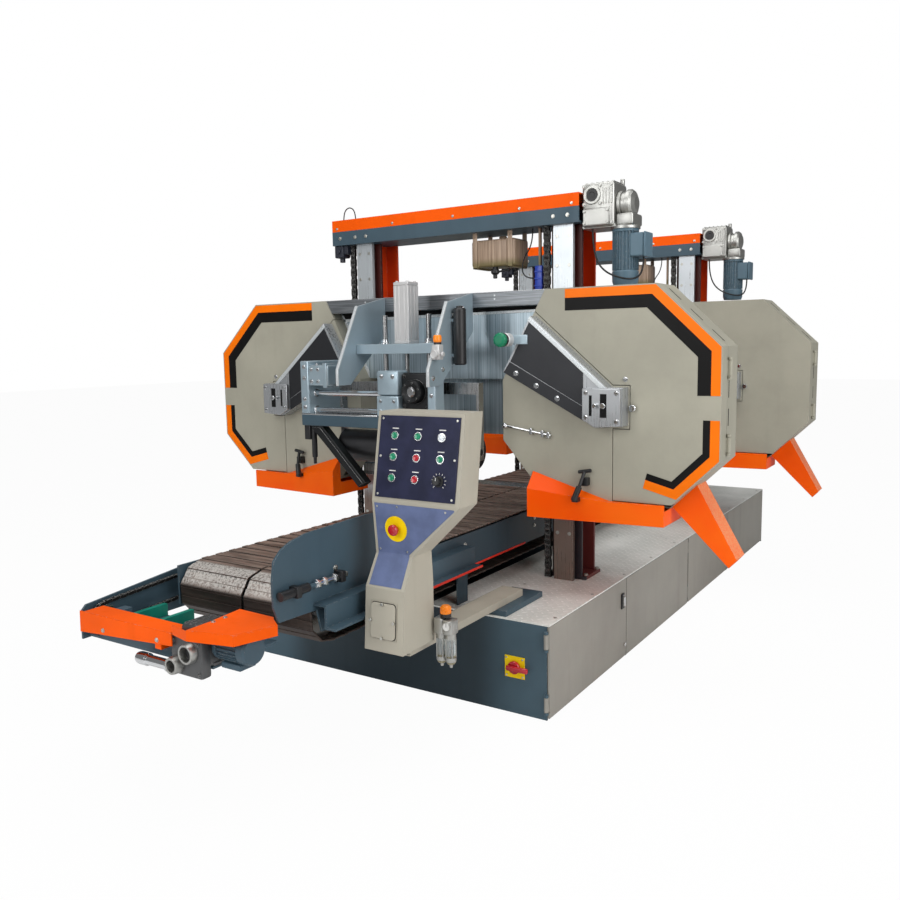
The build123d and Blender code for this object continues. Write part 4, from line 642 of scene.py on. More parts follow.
# Painted shade: the columns go near black below the sawdust pans.
paint_light_along(column_finish, "Z", 0.80, 0.68, srgb(40, 42, 48), 0.85)
dress(column_finish, "gantry_columns")
rail_steel = bright_metal("ground_rail_steel", srgb(196, 202, 206),
                          roughness=0.3, brushed=(260.0, 260.0, 3.0), grain=0.05, stain=0.12, metallic=0.55)
# Painted reflection: the rails turn tan below the pans, for the orange light the pans throw onto them.
paint_light_along(rail_steel, "Z", 0.80, 0.68, srgb(112, 84, 64), 0.85)
dress(rail_steel, "guide_rails")
anchors = bmesh.new()
for along in gantries:
    for x in (0.565, -0.565):
        for across in (-0.082, 0.082):
            for y in (-1.098, -0.963):
                bolt(anchors, (x + across, y + along, 0.412), to_top, 0.010, 0.006)
        for z in (0.62, 0.95, 1.25, 1.55, 1.85, 1.98):
            for across in (-0.030, 0.030):
                pin(anchors, (x + across, -1.1712 + along, z), (x + across, -1.1694 + along, z),
                    0.0085, 0.0005, 20)
settle(anchors, "column_bolts", "machine", "bare_steel", zinc_bolt)

# Gantry beams: folded slate channels over the columns, with an orange sheet cap on top.
# A limit switch hangs under the left end of each beam; the lift's line shaft runs inside.
dress(slate, "gantry_beams")
dress(turned_steel, "line_shaft_front", "line_shaft_rear")
beam_bolts, switches = bmesh.new(), bmesh.new()
for along in gantries:
    for x in (-0.70, -0.60, -0.53, 0.53, 0.60):
        bolt(beam_bolts, (x, -1.2 + along, 2.065), to_front, 0.007)
    for x in (-0.72, -0.36, 0.0, 0.36, 0.62):
        bolt(beam_bolts, (x, -1.2 + along, 2.115), to_front, 0.005, 0.003)
    bar(switches, (-0.748, -1.19 + along, 1.968), (-0.690, -1.13 + along, 2.0302), 0.005)
    bar(switches, (-0.690, -1.185 + along, 1.985), (-0.664, -1.140 + along, 2.0302), 0.004)
    pin(switches, (-0.719, -1.16 + along, 1.946), (-0.719, -1.16 + along, 1.969), 0.014, 0.002, 24)
    pin(switches, (-0.719, -1.191 + along, 2.0), (-0.719, -1.199 + along, 2.0), 0.012, 0.002, 24)
settle(beam_bolts, "beam_bolts", "machine", "bare_steel", zinc_bolt)
blue_black = moulded("blue_black_plastic", srgb(30, 34, 46), 0.5)
settle(switches, "limit_switches", "machine", "black_plastic", blue_black)


# Lift drives: a cast alloy worm gearbox on the right end of each beam, ribbed and bolted,
# with an upright slate motor under its input flange and a terminal box on the motor.
def around(count, radius, start=0.0):
    """Points on a circle, as pairs of offsets from its middle."""
    turns = [start + 2 * pi * k / count for k in range(count)]
    return [(radius * cos(turn), radius * sin(turn)) for turn in turns]


motor_paint = enamel("motor_enamel", srgb(88, 112, 126))
cowl_profile = ((0.046, -0.004), (0.052, 0.0), (0.058, 0.004), (0.058, 0.016), (0.050, 0.020), (0.050, 0.036),
                (0.060, 0.040), (0.060, 0.056), (0.052, 0.066), (0.030, 0.076), (0.0, 0.078))
flange_profile = ((0.0, 0.0), (0.064, 0.0), (0.064, 0.012), (0.054, 0.016), (0.052, 0.030))
lift_gear, lift_motors, lift_bores = bmesh.new(), bmesh.new(), bmesh.new()
for along in gantries:
    face, axis = -1.1735 + along, -1.1 + along
    bar(lift_gear, (0.657, face, 2.004), (0.807, -1.016 + along, 2.194), 0.014, 3)
    bar(lift_gear, (0.654, face + 0.012, 2.000), (0.810, -1.010 + along, 2.016), 0.004)
    bar(lift_gear, (0.662, face - 0.0055, 2.010), (0.790, face + 0.01, 2.086), 0.006)
    bored_face(lift_gear, (0.706, face, 2.142), to_front, 0.040, 0.029, 0.0065)
    turned(lift_bores, ((0.0, 0.001), (0.012, 0.001), (0.014, 0.003), (0.026, 0.003), (0.027, -0.003)),
           (0.706, face, 2.142), to_front, 32)
    for x, z in ((0.668, 2.104), (0.744, 2.104), (0.668, 2.180), (0.744, 2.180), (0.796, 2.02),
                 (0.796, 2.18)):
        bolt(lift_gear, (x, face, z), to_front, 0.0065)
    for x in (0.672, 0.780):
        for z in (2.022, 2.074):
            bolt(lift_gear, (x, face - 0.0055, z), to_front, 0.006)
    for x in [0.756 + k * 0.013 for k in range(4)]:
        bar(lift_gear, (x, face - 0.005, 2.100), (x + 0.005, face + 0.01, 2.170), 0.0015, 1)
    for x in [0.667 + k * 0.025 for k in range(6)]:
        bar(lift_gear, (x, face + 0.02, 2.190), (x + 0.005, -1.030 + along, 2.199), 0.0015, 1)
    turned(lift_gear, ((0.0, 0.030), (0.009, 0.030), (0.010, 0.022), (0.010, 0.0)),
           (0.790, -1.03 + along, 2.19), to_top, 24)
    turned(lift_gear, cowl_profile, (0.808, axis, 2.100), to_right, 40)
    for across, up in around(8, 0.044):
        bolt(lift_gear, (0.864, axis + across, 2.1 + up), to_right, 0.005)
    bar(lift_gear, (0.811, -1.16 + along, 2.004), (0.888, -1.04 + along, 2.056), 0.010, 3)
    turned(lift_gear, flange_profile, (0.833, axis, 1.992), to_top, 36)
    finned_motor(lift_motors, (0.833, axis, 1.996), (0, 0, -1), 0.058, 0.246)
    bar(lift_motors, (0.868, -1.145 + along, 1.870), (0.930, -1.055 + along, 1.970), 0.006)
    bar(lift_motors, (0.930, -1.148 + along, 1.867), (0.941, -1.052 + along, 1.973), 0.005)
settle(lift_gear, "lift_gearboxes", "machine", "bare_steel", cast_grey, "gearmotors")
settle(lift_motors, "lift_motors", "machine", "slate_paint", motor_paint, "gearmotors")
settle(lift_bores, "lift_bores", "machine", "black_plastic", black_plastic, "gearmotors")

# Chains: oiled leaf chain, 1 inch pitch, on the lift and roller chain on the feed drive.
# Steel plates pinned through rollers; the lift chains hang beside the guide rails, fixed to the base.
oiled_chain = bright_metal("oiled_chain_steel", srgb(34, 31, 30), roughness=0.45, stain=0.6, metallic=0.6)
lift_pitch, upright_turn = 0.0255, Matrix.Rotation(pi / 2, 4, "X")


def chain_link(form, stand, pitch, width, tall, outer, leaves=(-1, 1)):
    """One chain link, Y along the chain: plates at shares of the half width, and a roller."""
    spread, thick = width / 2 - (0.0 if outer else 0.003), 0.0024
    half, slope = pitch / 2 + tall * 0.42, tall * 0.3
    outline = [(-half, -slope), (-half + slope, -tall / 2), (half - slope, -tall / 2), (half, -slope),
               (half, slope), (half - slope, tall / 2), (-half + slope, tall / 2), (-half, slope)]
    for side in leaves:
        cut_sheet(form, [stand @ Vector((side * spread, y, z)) for y, z in outline],
                  stand.to_3x3() @ Vector((-side * thick if abs(side) == 1 else thick / 2, 0, 0)), 0)
    turn = Matrix.Rotation(pi / 2, 4, "Y")
    bmesh.ops.create_cone(form, cap_ends=True, segments=10, radius1=tall * 0.36, radius2=tall * 0.36,
                          depth=width - 0.004, matrix=stand @ Matrix.Translation((0, -pitch / 2, 0)) @ turn)


chains = bmesh.new()
for along in gantries:
    for x in (0.4765, -0.6535):
        for k in range(66):
            rising = Matrix.Translation((x, -1.15 + along, 0.4115 + k * lift_pitch)) @ upright_turn
            chain_link(chains, rising, lift_pitch, 0.031, 0.0165, k % 2 == 0, (-1, -0.6, -0.2, 0.2, 0.6, 1))
for k, ends in enumerate(belt((-2.92, 0.565), (bed_ends[0], shaft_z), 0.0435, 0.0, 60, 0.0)):
    chain_link(chains, link_frame(-0.412, ends), (ends[1] - ends[0]).length, 0.0155, 0.0125, k % 2 == 0)
settle(chains, "roller_chains", "machine", "chain_steel", oiled_chain, "drive_chains")

# Blade lubrication: a tan sheet tank strapped under each beam, with a black tap and lever below,
# and a blue dosing pump hung from a steel strip beside it.
tank_finish, tone = new_finish("tank_enamel", Specular_IOR_Level=0.3)
place = tone.place()
height = tone.part(place, "Z")
hanging = tone.stretched(place, (110.0, 110.0, 3.0))
streak = tone.noise(hanging, 1.0, 5.0, 0.65)
rounded, _ = softened(tone, 0.003)
tan = tone.blend(streak.step(0.3, 0.7), srgb(140, 116, 96), srgb(188, 164, 142))
oily = (1.0 - height.step(1.875, 1.915)) * (0.5 + streak * 0.6)
tone.lay(Base_Color=tone.blend(oily, tan, srgb(112, 104, 62)),
         Roughness=0.36 + (streak - 0.5) * 0.25,
         Normal=tone.bump(0.1, 0.0006, streak, rounded))
tap_profile = ((0.012, 0.0), (0.012, 0.008), (0.017, 0.010), (0.020, 0.018), (0.020, 0.028), (0.015, 0.034),
               (0.010, 0.036), (0.010, 0.052), (0.007, 0.054), (0.0, 0.054))
tanks, straps, taps, pumps = bmesh.new(), bmesh.new(), bmesh.new(), bmesh.new()
for along in gantries:
    tap_y = -1.131 + along
    bar(tanks, (0.0735, -1.1545 + along, 1.8675), (0.3105, -1.0105 + along, 1.9965), 0.014, 3)
    for x in (0.1135, 0.1925, 0.2705):
        bar(tanks, (x - 0.004, -1.1565 + along, 1.8685), (x + 0.004, -1.0085 + along, 1.9955), 0.0016, 1)
    turned(tanks, ((0.0, 0.022), (0.017, 0.022), (0.019, 0.018), (0.019, 0.004), (0.014, 0.0)),
           (0.192, -1.05 + along, 1.9965), to_top, 28)
    for x in (0.097, 0.287):
        bar(straps, (x - 0.012, -1.158 + along, 1.862), (x + 0.012, -1.1545 + along, 2.030), 0.001)
        bar(straps, (x - 0.012, -1.0105 + along, 1.862), (x + 0.012, -1.007 + along, 2.030), 0.001)
        bar(straps, (x - 0.012, -1.158 + along, 1.862), (x + 0.012, -1.007 + along, 1.8672), 0.001)
        bolt(straps, (x, -1.158 + along, 2.012), to_front, 0.005)
    bar(straps, (0.4245, -1.1355 + along, 1.855), (0.4355, -1.1205 + along, 2.030), 0.001)
    turned(taps, tap_profile, (0.192, tap_y, 1.868), (0, 0, -1), 28)
    pin(taps, (0.210, tap_y, 1.845), (0.262, tap_y, 1.851), 0.005, 0.001, 16)
    pin(taps, (0.258, tap_y, 1.850), (0.272, tap_y, 1.852), 0.008, 0.003, 16)
    bar(pumps, (0.4105, -1.1495 + along, 1.7405), (0.4495, -1.1065 + along, 1.8595), 0.006, 3)
    for z in (1.768, 1.80, 1.832):
        bar(pumps, (0.409, -1.151 + along, z - 0.004), (0.451, -1.105 + along, z + 0.004), 0.002, 1)
    turned(pumps, ((0.0, 0.0), (0.010, 0.0), (0.012, 0.003), (0.012, 0.014)), (0.43, -1.128 + along, 1.731),
           to_top, 24)
settle(tanks, "lubricant_tank_shells", "machine", "cream_paint", tank_finish, "lubricant_tanks")
settle(straps, "tank_straps", "machine", "bare_steel", tank_finish, "lubricant_tanks")
settle(taps, "tank_taps", "machine", "black_plastic", black_plastic, "lubricant_tanks")
pump_blue = moulded("blue_plastic", srgb(30, 62, 168), 0.32)
settle(pumps, "dosing_pumps", "machine", "black_plastic", pump_blue, "lubricant_tanks")

# Head beams: a box girder of brushed plate over each saw, a galvanised cover sheet below it,
# and slate posts with sliding shoes behind that clasp the guide rails.
heads = (("front_", 0.0), ("rear_", module))
beam_finish, tone = new_finish("head_beam_metal")
place = tone.place()
height = tone.part(place, "Z")
depth = tone.part(place, "Y")
behind = tone.math("FRACT", (depth + 1.5) * (1 / module)).step(0.1545, 0.1560)
upper = height.step(1.6660, 1.6675)
hanging = tone.stretched(place, (150.0, 150.0, 1.2))
streak = tone.noise(hanging, 1.0, 6.0, 0.7)
lying = tone.stretched(place, (5.0, 200.0, 200.0))
lines = tone.noise(lying, 1.0, 4.0)
cloud = tone.noise(place, 5.0, 6.0)
rounded, near = softened(tone, 0.004)
cover_tone = tone.blend(streak.step(0.3, 0.7), srgb(132, 150, 160), srgb(190, 204, 212))
girder_tone = tone.blend(lines.step(0.3, 0.7), srgb(112, 116, 120), srgb(150, 154, 158))
metal_tone = tone.blend((near * 4.0).step(0.1, 0.8), tone.blend(upper, cover_tone, girder_tone),
                        srgb(236, 238, 238))
slate_tone = tone.blend(cloud.step(0.3, 0.7), srgb(58, 76, 87), srgb(70, 91, 103))
tone.lay(Base_Color=tone.blend(behind, metal_tone, slate_tone),
         Metallic=0.85 - behind * 0.85,
         Roughness=0.36 + (streak - 0.5) * 0.2 + (cloud - 0.5) * 0.14,
         Normal=tone.bump(0.15, 0.0008, lines + streak, rounded))
galvanised = bright_metal("galvanised_sheet", srgb(160, 178, 188),
                          roughness=0.36, brushed=(120.0, 120.0, 3.0),
                          grain=0.05, edge=0.004, stain=0.3, metallic=0.5)
# Painted shade: a near-black finish for thin sheets laid in gaps, slots and seams, where only shade is seen.
painted_gap_shade = moulded("painted_gap_shade", srgb(14, 14, 15), roughness=0.7, specular=0.2)
bright_edge = bright_metal("bright_cut_edge", srgb(204, 209, 211),
                           roughness=0.3, grain=0.04, stain=0.1, metallic=0.35)
cover_lip = ((-0.5635, 1.640), (0.5635, 1.652), (0.5635, 1.640), (-0.5635, 1.626))
cover_slit = ((-0.5635, 1.666), (0.5635, 1.666), (0.5635, 1.652), (-0.5635, 1.640))
cover_side = ((0.402, 1.347), (0.573, 1.660), (0.556, 1.660), (0.402, 1.380))


def upright(corners, y, side=1):
    """Corners (x, z) of an outline at one depth, mirrored for the left side."""
    return [(side * x, y, z) for x, z in corners]


for head, along in heads:
    dress(beam_finish, head + "head_beam")
    trim = bmesh.new()
    cut_sheet(trim, upright(cover_lip, -1.3655 + along), (0, 0.0035, 0), 0.001)
    # Painted shadow: a near-black strip fills the slit under the girder.
    gap = bmesh.new()
    cut_sheet(gap, upright(cover_slit, -1.3650 + along), (0, 0.003, 0), 0)
    settle(gap, head + "cover_slit_shadow", head + "head", "black_plastic", painted_gap_shade)
    for side in (1, -1):
        cut_sheet(trim, upright(cover_side, -1.3655 + along, side), (0, 0.0035, 0), 0.001)
    for x in (-0.36, 0.36):
        for z in (1.70, 1.715):
            pin(trim, (x, -1.4352 + along, z), (x, -1.4366 + along, z), 0.004, 0.0004, 16)
    settle(trim, head + "cover_trim", head + "head", "bare_steel", bright_edge)

# Wheel casings and doors: octagonal boxes of 3 mm sheet in warm grey enamel; the outer part of each
# front swings open on two barrel hinges. A sliding bolt and two toggle latches hold panel and pan.
khaki = enamel("khaki_enamel", srgb(166, 163, 148), roughness=0.44, chip=0.35, grime=0.3)
casing_face, rod_y, hinge_heights = -1.4395, -1.452, (1.095, 1.395)
button_profile = ((0.0, 0.022), (0.012, 0.022), (0.015, 0.018), (0.015, 0.008), (0.007, 0.006), (0.007, 0.0))
casing_line = ((1.356, 1.035), (1.356, 1.480), (1.093, 1.731), (0.608, 1.731))
for head, along in heads:
    dress(khaki, head + "wheel_casings", head + "left_door", head + "right_door")
    slots, rods, toggles = bmesh.new(), bmesh.new(), bmesh.new()
    for side in (1, -1):
        for (xa, za), (xb, zb) in zip(casing_line, casing_line[1:]):
            run = Vector((xb - xa, 0, zb - za))
            out = Vector((run.z, 0, -run.x)).normalized()
            count = int(run.length / 0.105)
            for k in range(count):
                middle = Vector((xa, -1.342 + along, za)) + run * ((k + 0.5) / count)
                if min(abs(middle.z - height) for height in hinge_heights) < 0.05:
                    continue
                half, tall = run.normalized() * 0.034, Vector((0, 0.004, 0))
                corners = (middle - half - tall, middle + half - tall, middle + half + tall,
                           middle - half + tall)
                away = Vector((side * out.x, 0, out.z))
                # Each slot is a dark sheet on the rim: painted shade for the opening.
                cut_sheet(slots, [Vector((side * c.x, c.y, c.z)) - away * 0.001 for c in corners],
                          away * 0.0016, 0)
        pin(rods, (side * 0.418, rod_y + along, 1.1446), (side * 0.640, rod_y + along, 1.1098),
            0.0055, 0.001, 20)
        bmesh.ops.create_uvsphere(rods, u_segments=24, v_segments=14, radius=0.013,
                                  matrix=Matrix.Translation((side * 0.416, rod_y + along, 1.145)))
        for x in (0.545, 0.600, 0.628):
            z = 1.1446 - (x - 0.418) * 0.1568
            bar(rods, (side * x - 0.006, -1.460 + along, z - 0.014),
                (side * x + 0.006, casing_face + along, z + 0.014), 0.002)
        bolt(rods, (side * 0.968, -1.440 + along, 1.352), to_front, 0.008)
        turned(rods, button_profile, (side * 1.004, casing_face + along, 1.236), to_front, 28)
        grip = [Vector((side * x, y + along, z)) for x, y, z in
                ((0.772, -1.462, 0.962), (0.830, -1.462, 0.972), (0.801, -1.462, 0.967),
                 (0.789, -1.490, 0.905), (0.779, -1.508, 0.868), (0.770, -1.508, 0.846))]
        pin(toggles, grip[0], grip[1], 0.008, 0.003, 20)
        pin(toggles, grip[2], grip[3], 0.0075, 0.002, 20)
        pin(toggles, grip[3], grip[5], 0.013, 0.003, 24)
        bar(toggles, (side * 0.800 - 0.016, -1.470 + along, 0.905),
            (side * 0.800 + 0.016, casing_face + along, 0.940), 0.003)
        bar(toggles, (side * 0.775 - 0.014, -1.510 + along, 0.840),
            (side * 0.775 + 0.014, -1.478 + along, 0.858), 0.003)
    settle(slots, head + "casing_slots", head + "head", "black_plastic", painted_gap_shade)
    settle(rods, head + "panel_bolts", head + "head", "bare_steel", chrome)
    settle(toggles, head + "toggle_latches", head + "head", "black_plastic", black_plastic)


def stripe(line, near, far):
    """Outline of a band between two depths inside a line of (x, z) corners that turns clockwise."""
    sides = [Vector((b[1] - a[1], a[0] - b[0])).normalized() for a, b in zip(line, line[1:])]

    def shifted(depth):
        inner = [Vector(corner) + (one + two) * (depth / (1 + one.dot(two)))
                 for corner, one, two in zip(line[1:], sides, sides[1:])]
        return [Vector(line[0]) + sides[0] * depth, *inner, Vector(line[-1]) + sides[-1] * depth]

    return shifted(near) + shifted(far)[::-1]


orange_film = enamel("orange_film", srgb(255, 120, 0), roughness=0.35, chip=0.1, grime=0.15, specular=0.14)
black_film = moulded("black_film", srgb(14, 13, 13), roughness=0.45, specular=0.15)
top_line = ((0.70, 1.731), (1.093, 1.731), (1.356, 1.480), (1.356, 1.290))
low_line = ((1.356, 1.195), (1.356, 1.035), (1.185, 0.868), (1.045, 0.905))
for hand, side in (("right", 1), ("left", -1)):
    for name, film, bands in (("orange", orange_film, ((top_line, 0.005, 0.042), (low_line, 0.005, 0.042))),
                              ("black", black_film, ((top_line, 0.042, 0.094), (low_line, 0.042, 0.070)))):
        form = bmesh.new()
        for line, near, far in bands:
            cut_sheet(form, upright(stripe(line, near, far), casing_face - 0.0001, side), (0, -0.0009, 0), 0)
        settle(form, hand + "_door_" + name + "_stripes", "front_" + hand + "_door",
               "orange_paint" if name == "orange" else "black_plastic", film)

# Sawdust pans: folded 4 mm sheet, sprayed orange, held under both casings of each saw by the latches.
# The chute at the right is scoured paler by the flying dust.
pan_finish, tone = new_finish("pan_enamel", Specular_IOR_Level=0.14)
place = tone.place()
over_side = tone.part(place, "X").step(1.13, 1.22)
cloud = tone.noise(place, 3.0, 6.0)
grain = tone.noise(place, 240.0, 4.0, 0.8)
speck = tone.noise(place, 60.0, 4.0)
facing = tone.part(tone.node("ShaderNodeNewGeometry", out="Normal"), "Z")
rounded, near = softened(tone, 0.004)
coat = tone.blend(cloud.step(0.3, 0.7), srgb(252, 84, 0), srgb(255, 104, 4))
scoured = over_side * facing.step(0.1, 0.5) * grain.step(0.42, 0.58) * 0.75
chipped = (near * 5.0).step(0.25, 0.9) * speck.step(0.5, 0.62) * 0.4
tone.lay(Base_Color=tone.blend(chipped, tone.blend(scoured, coat, srgb(250, 196, 150)), srgb(200, 190, 180)),
         Roughness=0.34 + (cloud - 0.5) * 0.2 + scoured * 0.3,
         Normal=tone.bump(0.15, 0.0006, grain, rounded))
for head, along in heads:
    dress(pan_finish, head + "sawdust_pans")

# Bearing arms: hollow steel arms across both casings that carry the outer ends of the wheel axles.
# A dark brushed face plate, a flange with three bolts and an end box with two slots round the axle.
arm_steel = bright_metal("arm_steel", srgb(172, 175, 178), roughness=0.3, brushed=(200.0, 200.0, 4.0),
                         grain=0.05, edge=0.0015, stain=0.15, metallic=0.6)
dark_brushed = bright_metal("dark_brushed_plate", srgb(50, 51, 54), roughness=0.4, brushed=(8.0, 8.0, 160.0),
                            grain=0.06, stain=0.4, metallic=0.6)
arm_face = -1.5045
arm_plate = ((0.474, 1.428), (0.572, 1.604), (0.812, 1.397), (0.812, 1.243))
arm_flange = ((0.440, 1.381), (0.472, 1.426), (0.812, 1.241), (0.812, 1.184))
arm_edge = ((0.568, 1.615), (0.912, 1.3185), (0.884, 1.3185), (0.559, 1.599))
end_box = ((0.815, 1.190), (0.866, 1.1595), (0.979, 1.1675), (0.979, 1.318), (0.815, 1.318))
axle_slots = (((0.846, 1.206), (0.858, 1.206), (0.858, 1.290), (0.846, 1.290)),
              ((0.894, 1.200), (0.922, 1.200), (0.922, 1.296), (0.894, 1.296)))
for head, along in heads:
    dress(arm_steel, head + "bearing_arms")
    faces, ends, edges, fixings, gaps = bmesh.new(), bmesh.new(), bmesh.new(), bmesh.new(), bmesh.new()
    for side in (1, -1):
        cut_sheet(faces, upright(arm_plate, arm_face + along, side), (0, -0.0025, 0), 0.0008)
        cut_sheet(ends, upright(end_box, arm_face + along, side), (0, -0.0205, 0), 0.003)
        cut_sheet(faces, upright(arm_flange, arm_face + along, side), (0, -0.0016, 0), 0.0005)
        cut_sheet(edges, upright(arm_edge, arm_face + along, side), (0, -0.005, 0), 0.0015)
        # The axle slots are dark sheets: painted shade for the openings.
        for slot in axle_slots:
            cut_sheet(gaps, upright(slot, -1.524 + along, side), (0, -0.0016, 0), 0)
        for x, z in ((0.500, 1.377), (0.597, 1.325), (0.694, 1.273)):
            bolt(fixings, (side * x, -1.505 + along, z), to_front, 0.009, 0.005)
        for x, z in ((0.832, 1.300), (0.964, 1.300), (0.964, 1.186), (0.832, 1.200)):
            bolt(fixings, (side * x, -1.525 + along, z), to_front, 0.0075)
        for x, y, radius, sides in ((0.875, -1.541, 0.010, 6), (0.908, -1.536, 0.012, 24)):
            pin(fixings, (side * x, -1.5245 + along, 1.248), (side * x, y + along, 1.248),
                radius, 0.002, sides)
    settle(faces, head + "arm_plates", head + "head", "bare_steel", dark_brushed)
    settle(ends, head + "arm_end_boxes", head + "head", "bare_steel", arm_steel)
    settle(edges, head + "arm_edges", head + "head", "bare_steel", bright_edge)
    settle(fixings, head + "arm_bolts", head + "head", "bare_steel", chrome)
    settle(gaps, head + "arm_slots", head + "head", "black_plastic", painted_gap_shade)

# Saw wheels, blade and saw motors: ribbed cast iron wheels with ground rims on axles in the arms,
# a toothed steel band round them, and a finned slate motor bolted to the back of each right casing.
wheel_iron = bright_metal("cast_iron_wheel", srgb(96, 96, 98), roughness=0.45, grain=0.3, edge=0.003,
                          stain=0.6)
blade_steel = bright_metal("band_steel", srgb(190, 192, 196), roughness=0.22, brushed=(3.0, 160.0, 160.0),
                           stain=0.2)
axle_x, axle_z, rim_face = 0.905, 1.245, -1.334
rib_line = ((0.074, 0.016), (0.346, 0.009), (0.346, -0.009), (0.074, -0.016))
for head, along in heads:
    dress(wheel_iron, head + "drive_wheel", head + "idle_wheel")
    dress(blade_steel, head + "saw_blade")
    for wheel, middle in (("drive_wheel", axle_x), ("idle_wheel", -axle_x)):
        ribs, rim = bmesh.new(), bmesh.new()
        hub = Vector((middle, -1.2960 + along, axle_z))
        for z, x in around(8, 1.0):
            spoke, across = Vector((x, 0, z)), Vector((z, 0, -x))
            cut_sheet(ribs, [hub + spoke * reach + across * half for reach, half in rib_line],
                      (0, -0.028, 0), 0.003)
        for x, z in around(6, 0.052):
            bolt(rim, (middle + x, rim_face + along, axle_z + z), to_front, 0.009, 0.005)
        turned(rim, ((0.348, -0.0005), (0.349, 0.0008), (0.387, 0.0008), (0.388, -0.0005)),
               (middle, rim_face + along, axle_z), to_front, 96)
        settle(ribs, head + wheel + "_ribs", head + wheel, "wheel_iron", wheel_iron)
        settle(rim, head + wheel + "_rim", head + wheel, "bare_steel", blade_steel)
    motor = bmesh.new()
    finned_motor(motor, (axle_x, -1.158 + along, axle_z), (0, 1, 0), 0.139, 0.357, 44)
    bar(motor, (0.846, -1.049 + along, 1.365), (0.964, -0.911 + along, 1.437), 0.006)
    bar(motor, (0.845, -1.050 + along, 1.425), (0.965, -0.910 + along, 1.445), 0.004)
    for x in (0.862, 0.948):
        for y in (-1.035, -0.925):
            bolt(motor, (x, y + along, 1.4445), to_top, 0.0045, 0.0025)
    for x in (0.808, 1.002):
        bar(motor, (x - 0.018, -1.10 + along, 1.100), (x + 0.018, -0.90 + along, 1.180), 0.006)
    settle(motor, head + "finned_motor", head + "head", "slate_paint", slate, head + "saw_motor")

# Hold-down units: galvanised gussets and a bridge plate on each head beam carry an aluminium air cylinder.
# In front, a blade guide slides on two chromed bars; a black damper, a valve and an oiler stand beside it.
aluminium = bright_metal("extruded_aluminium", srgb(196, 196, 196),
                         roughness=0.38, brushed=(200.0, 200.0, 3.0), grain=0.04, stain=0.12, metallic=0.35)
guide_casting = bright_metal("dark_casting", srgb(52, 53, 54), roughness=0.5, grain=0.3, stain=0.6)
knob_orange = moulded("orange_plastic", srgb(255, 140, 20), roughness=0.3)
cap_green = moulded("green_cap", srgb(8, 120, 84), roughness=0.35)
gusset_line = ((-1.435, 1.731), (-1.650, 1.684), (-1.800, 1.400), (-1.800, 1.330), (-1.710, 1.330),
               (-1.435, 1.560))
gusset_rim = ((-1.652, 1.688), (-1.803, 1.4005), (-1.803, 1.3295), (-1.795, 1.3295), (-1.795, 1.398),
              (-1.6445, 1.6845))
guide_arm = ((-0.470, 1.139), (-0.400, 1.139), (-0.150, 0.888), (-0.190, 0.863))
guide_arm_plate = ((-0.462, 1.130), (-0.412, 1.130), (-0.168, 0.885), (-0.188, 0.872))
cover_profile = ((0.0, 0.030), (0.020, 0.030), (0.024, 0.036), (0.036, 0.040), (0.044, 0.040), (0.050, 0.036),
                 (0.052, 0.030), (0.052, -0.002))
bush_profile = ((0.0128, 0.0), (0.024, 0.0), (0.024, 0.005), (0.019, 0.007), (0.019, 0.020), (0.0128, 0.022))
valve_profile = ((0.0, 0.030), (0.013, 0.030), (0.0165, 0.027), (0.018, 0.020), (0.018, 0.006), (0.015, 0.0))
cap_profile = ((0.0, 0.0845), (0.018, 0.0845), (0.026, 0.081), (0.0295, 0.075), (0.0295, 0.062),
               (0.027, 0.0605))
damper_profile = ((0.0, 0.0), (0.022, 0.0), (0.026, 0.003), (0.028, 0.006), (0.028, 0.236), (0.024, 0.242),
                  (0.014, 0.244), (0.014, 0.250), (0.011, 0.252), (0.0, 0.252))


def block(form, along, x, y, z, edge=0.003, rounds=2):
    """A box on the head at one gantry, from a pair of faces on each axis in either order."""
    (x1, x2), (y1, y2), (z1, z2) = sorted(x), sorted(y), sorted(z)
    bar(form, (x1, y1 + along, z1), (x2, y2 + along, z2), edge, rounds)


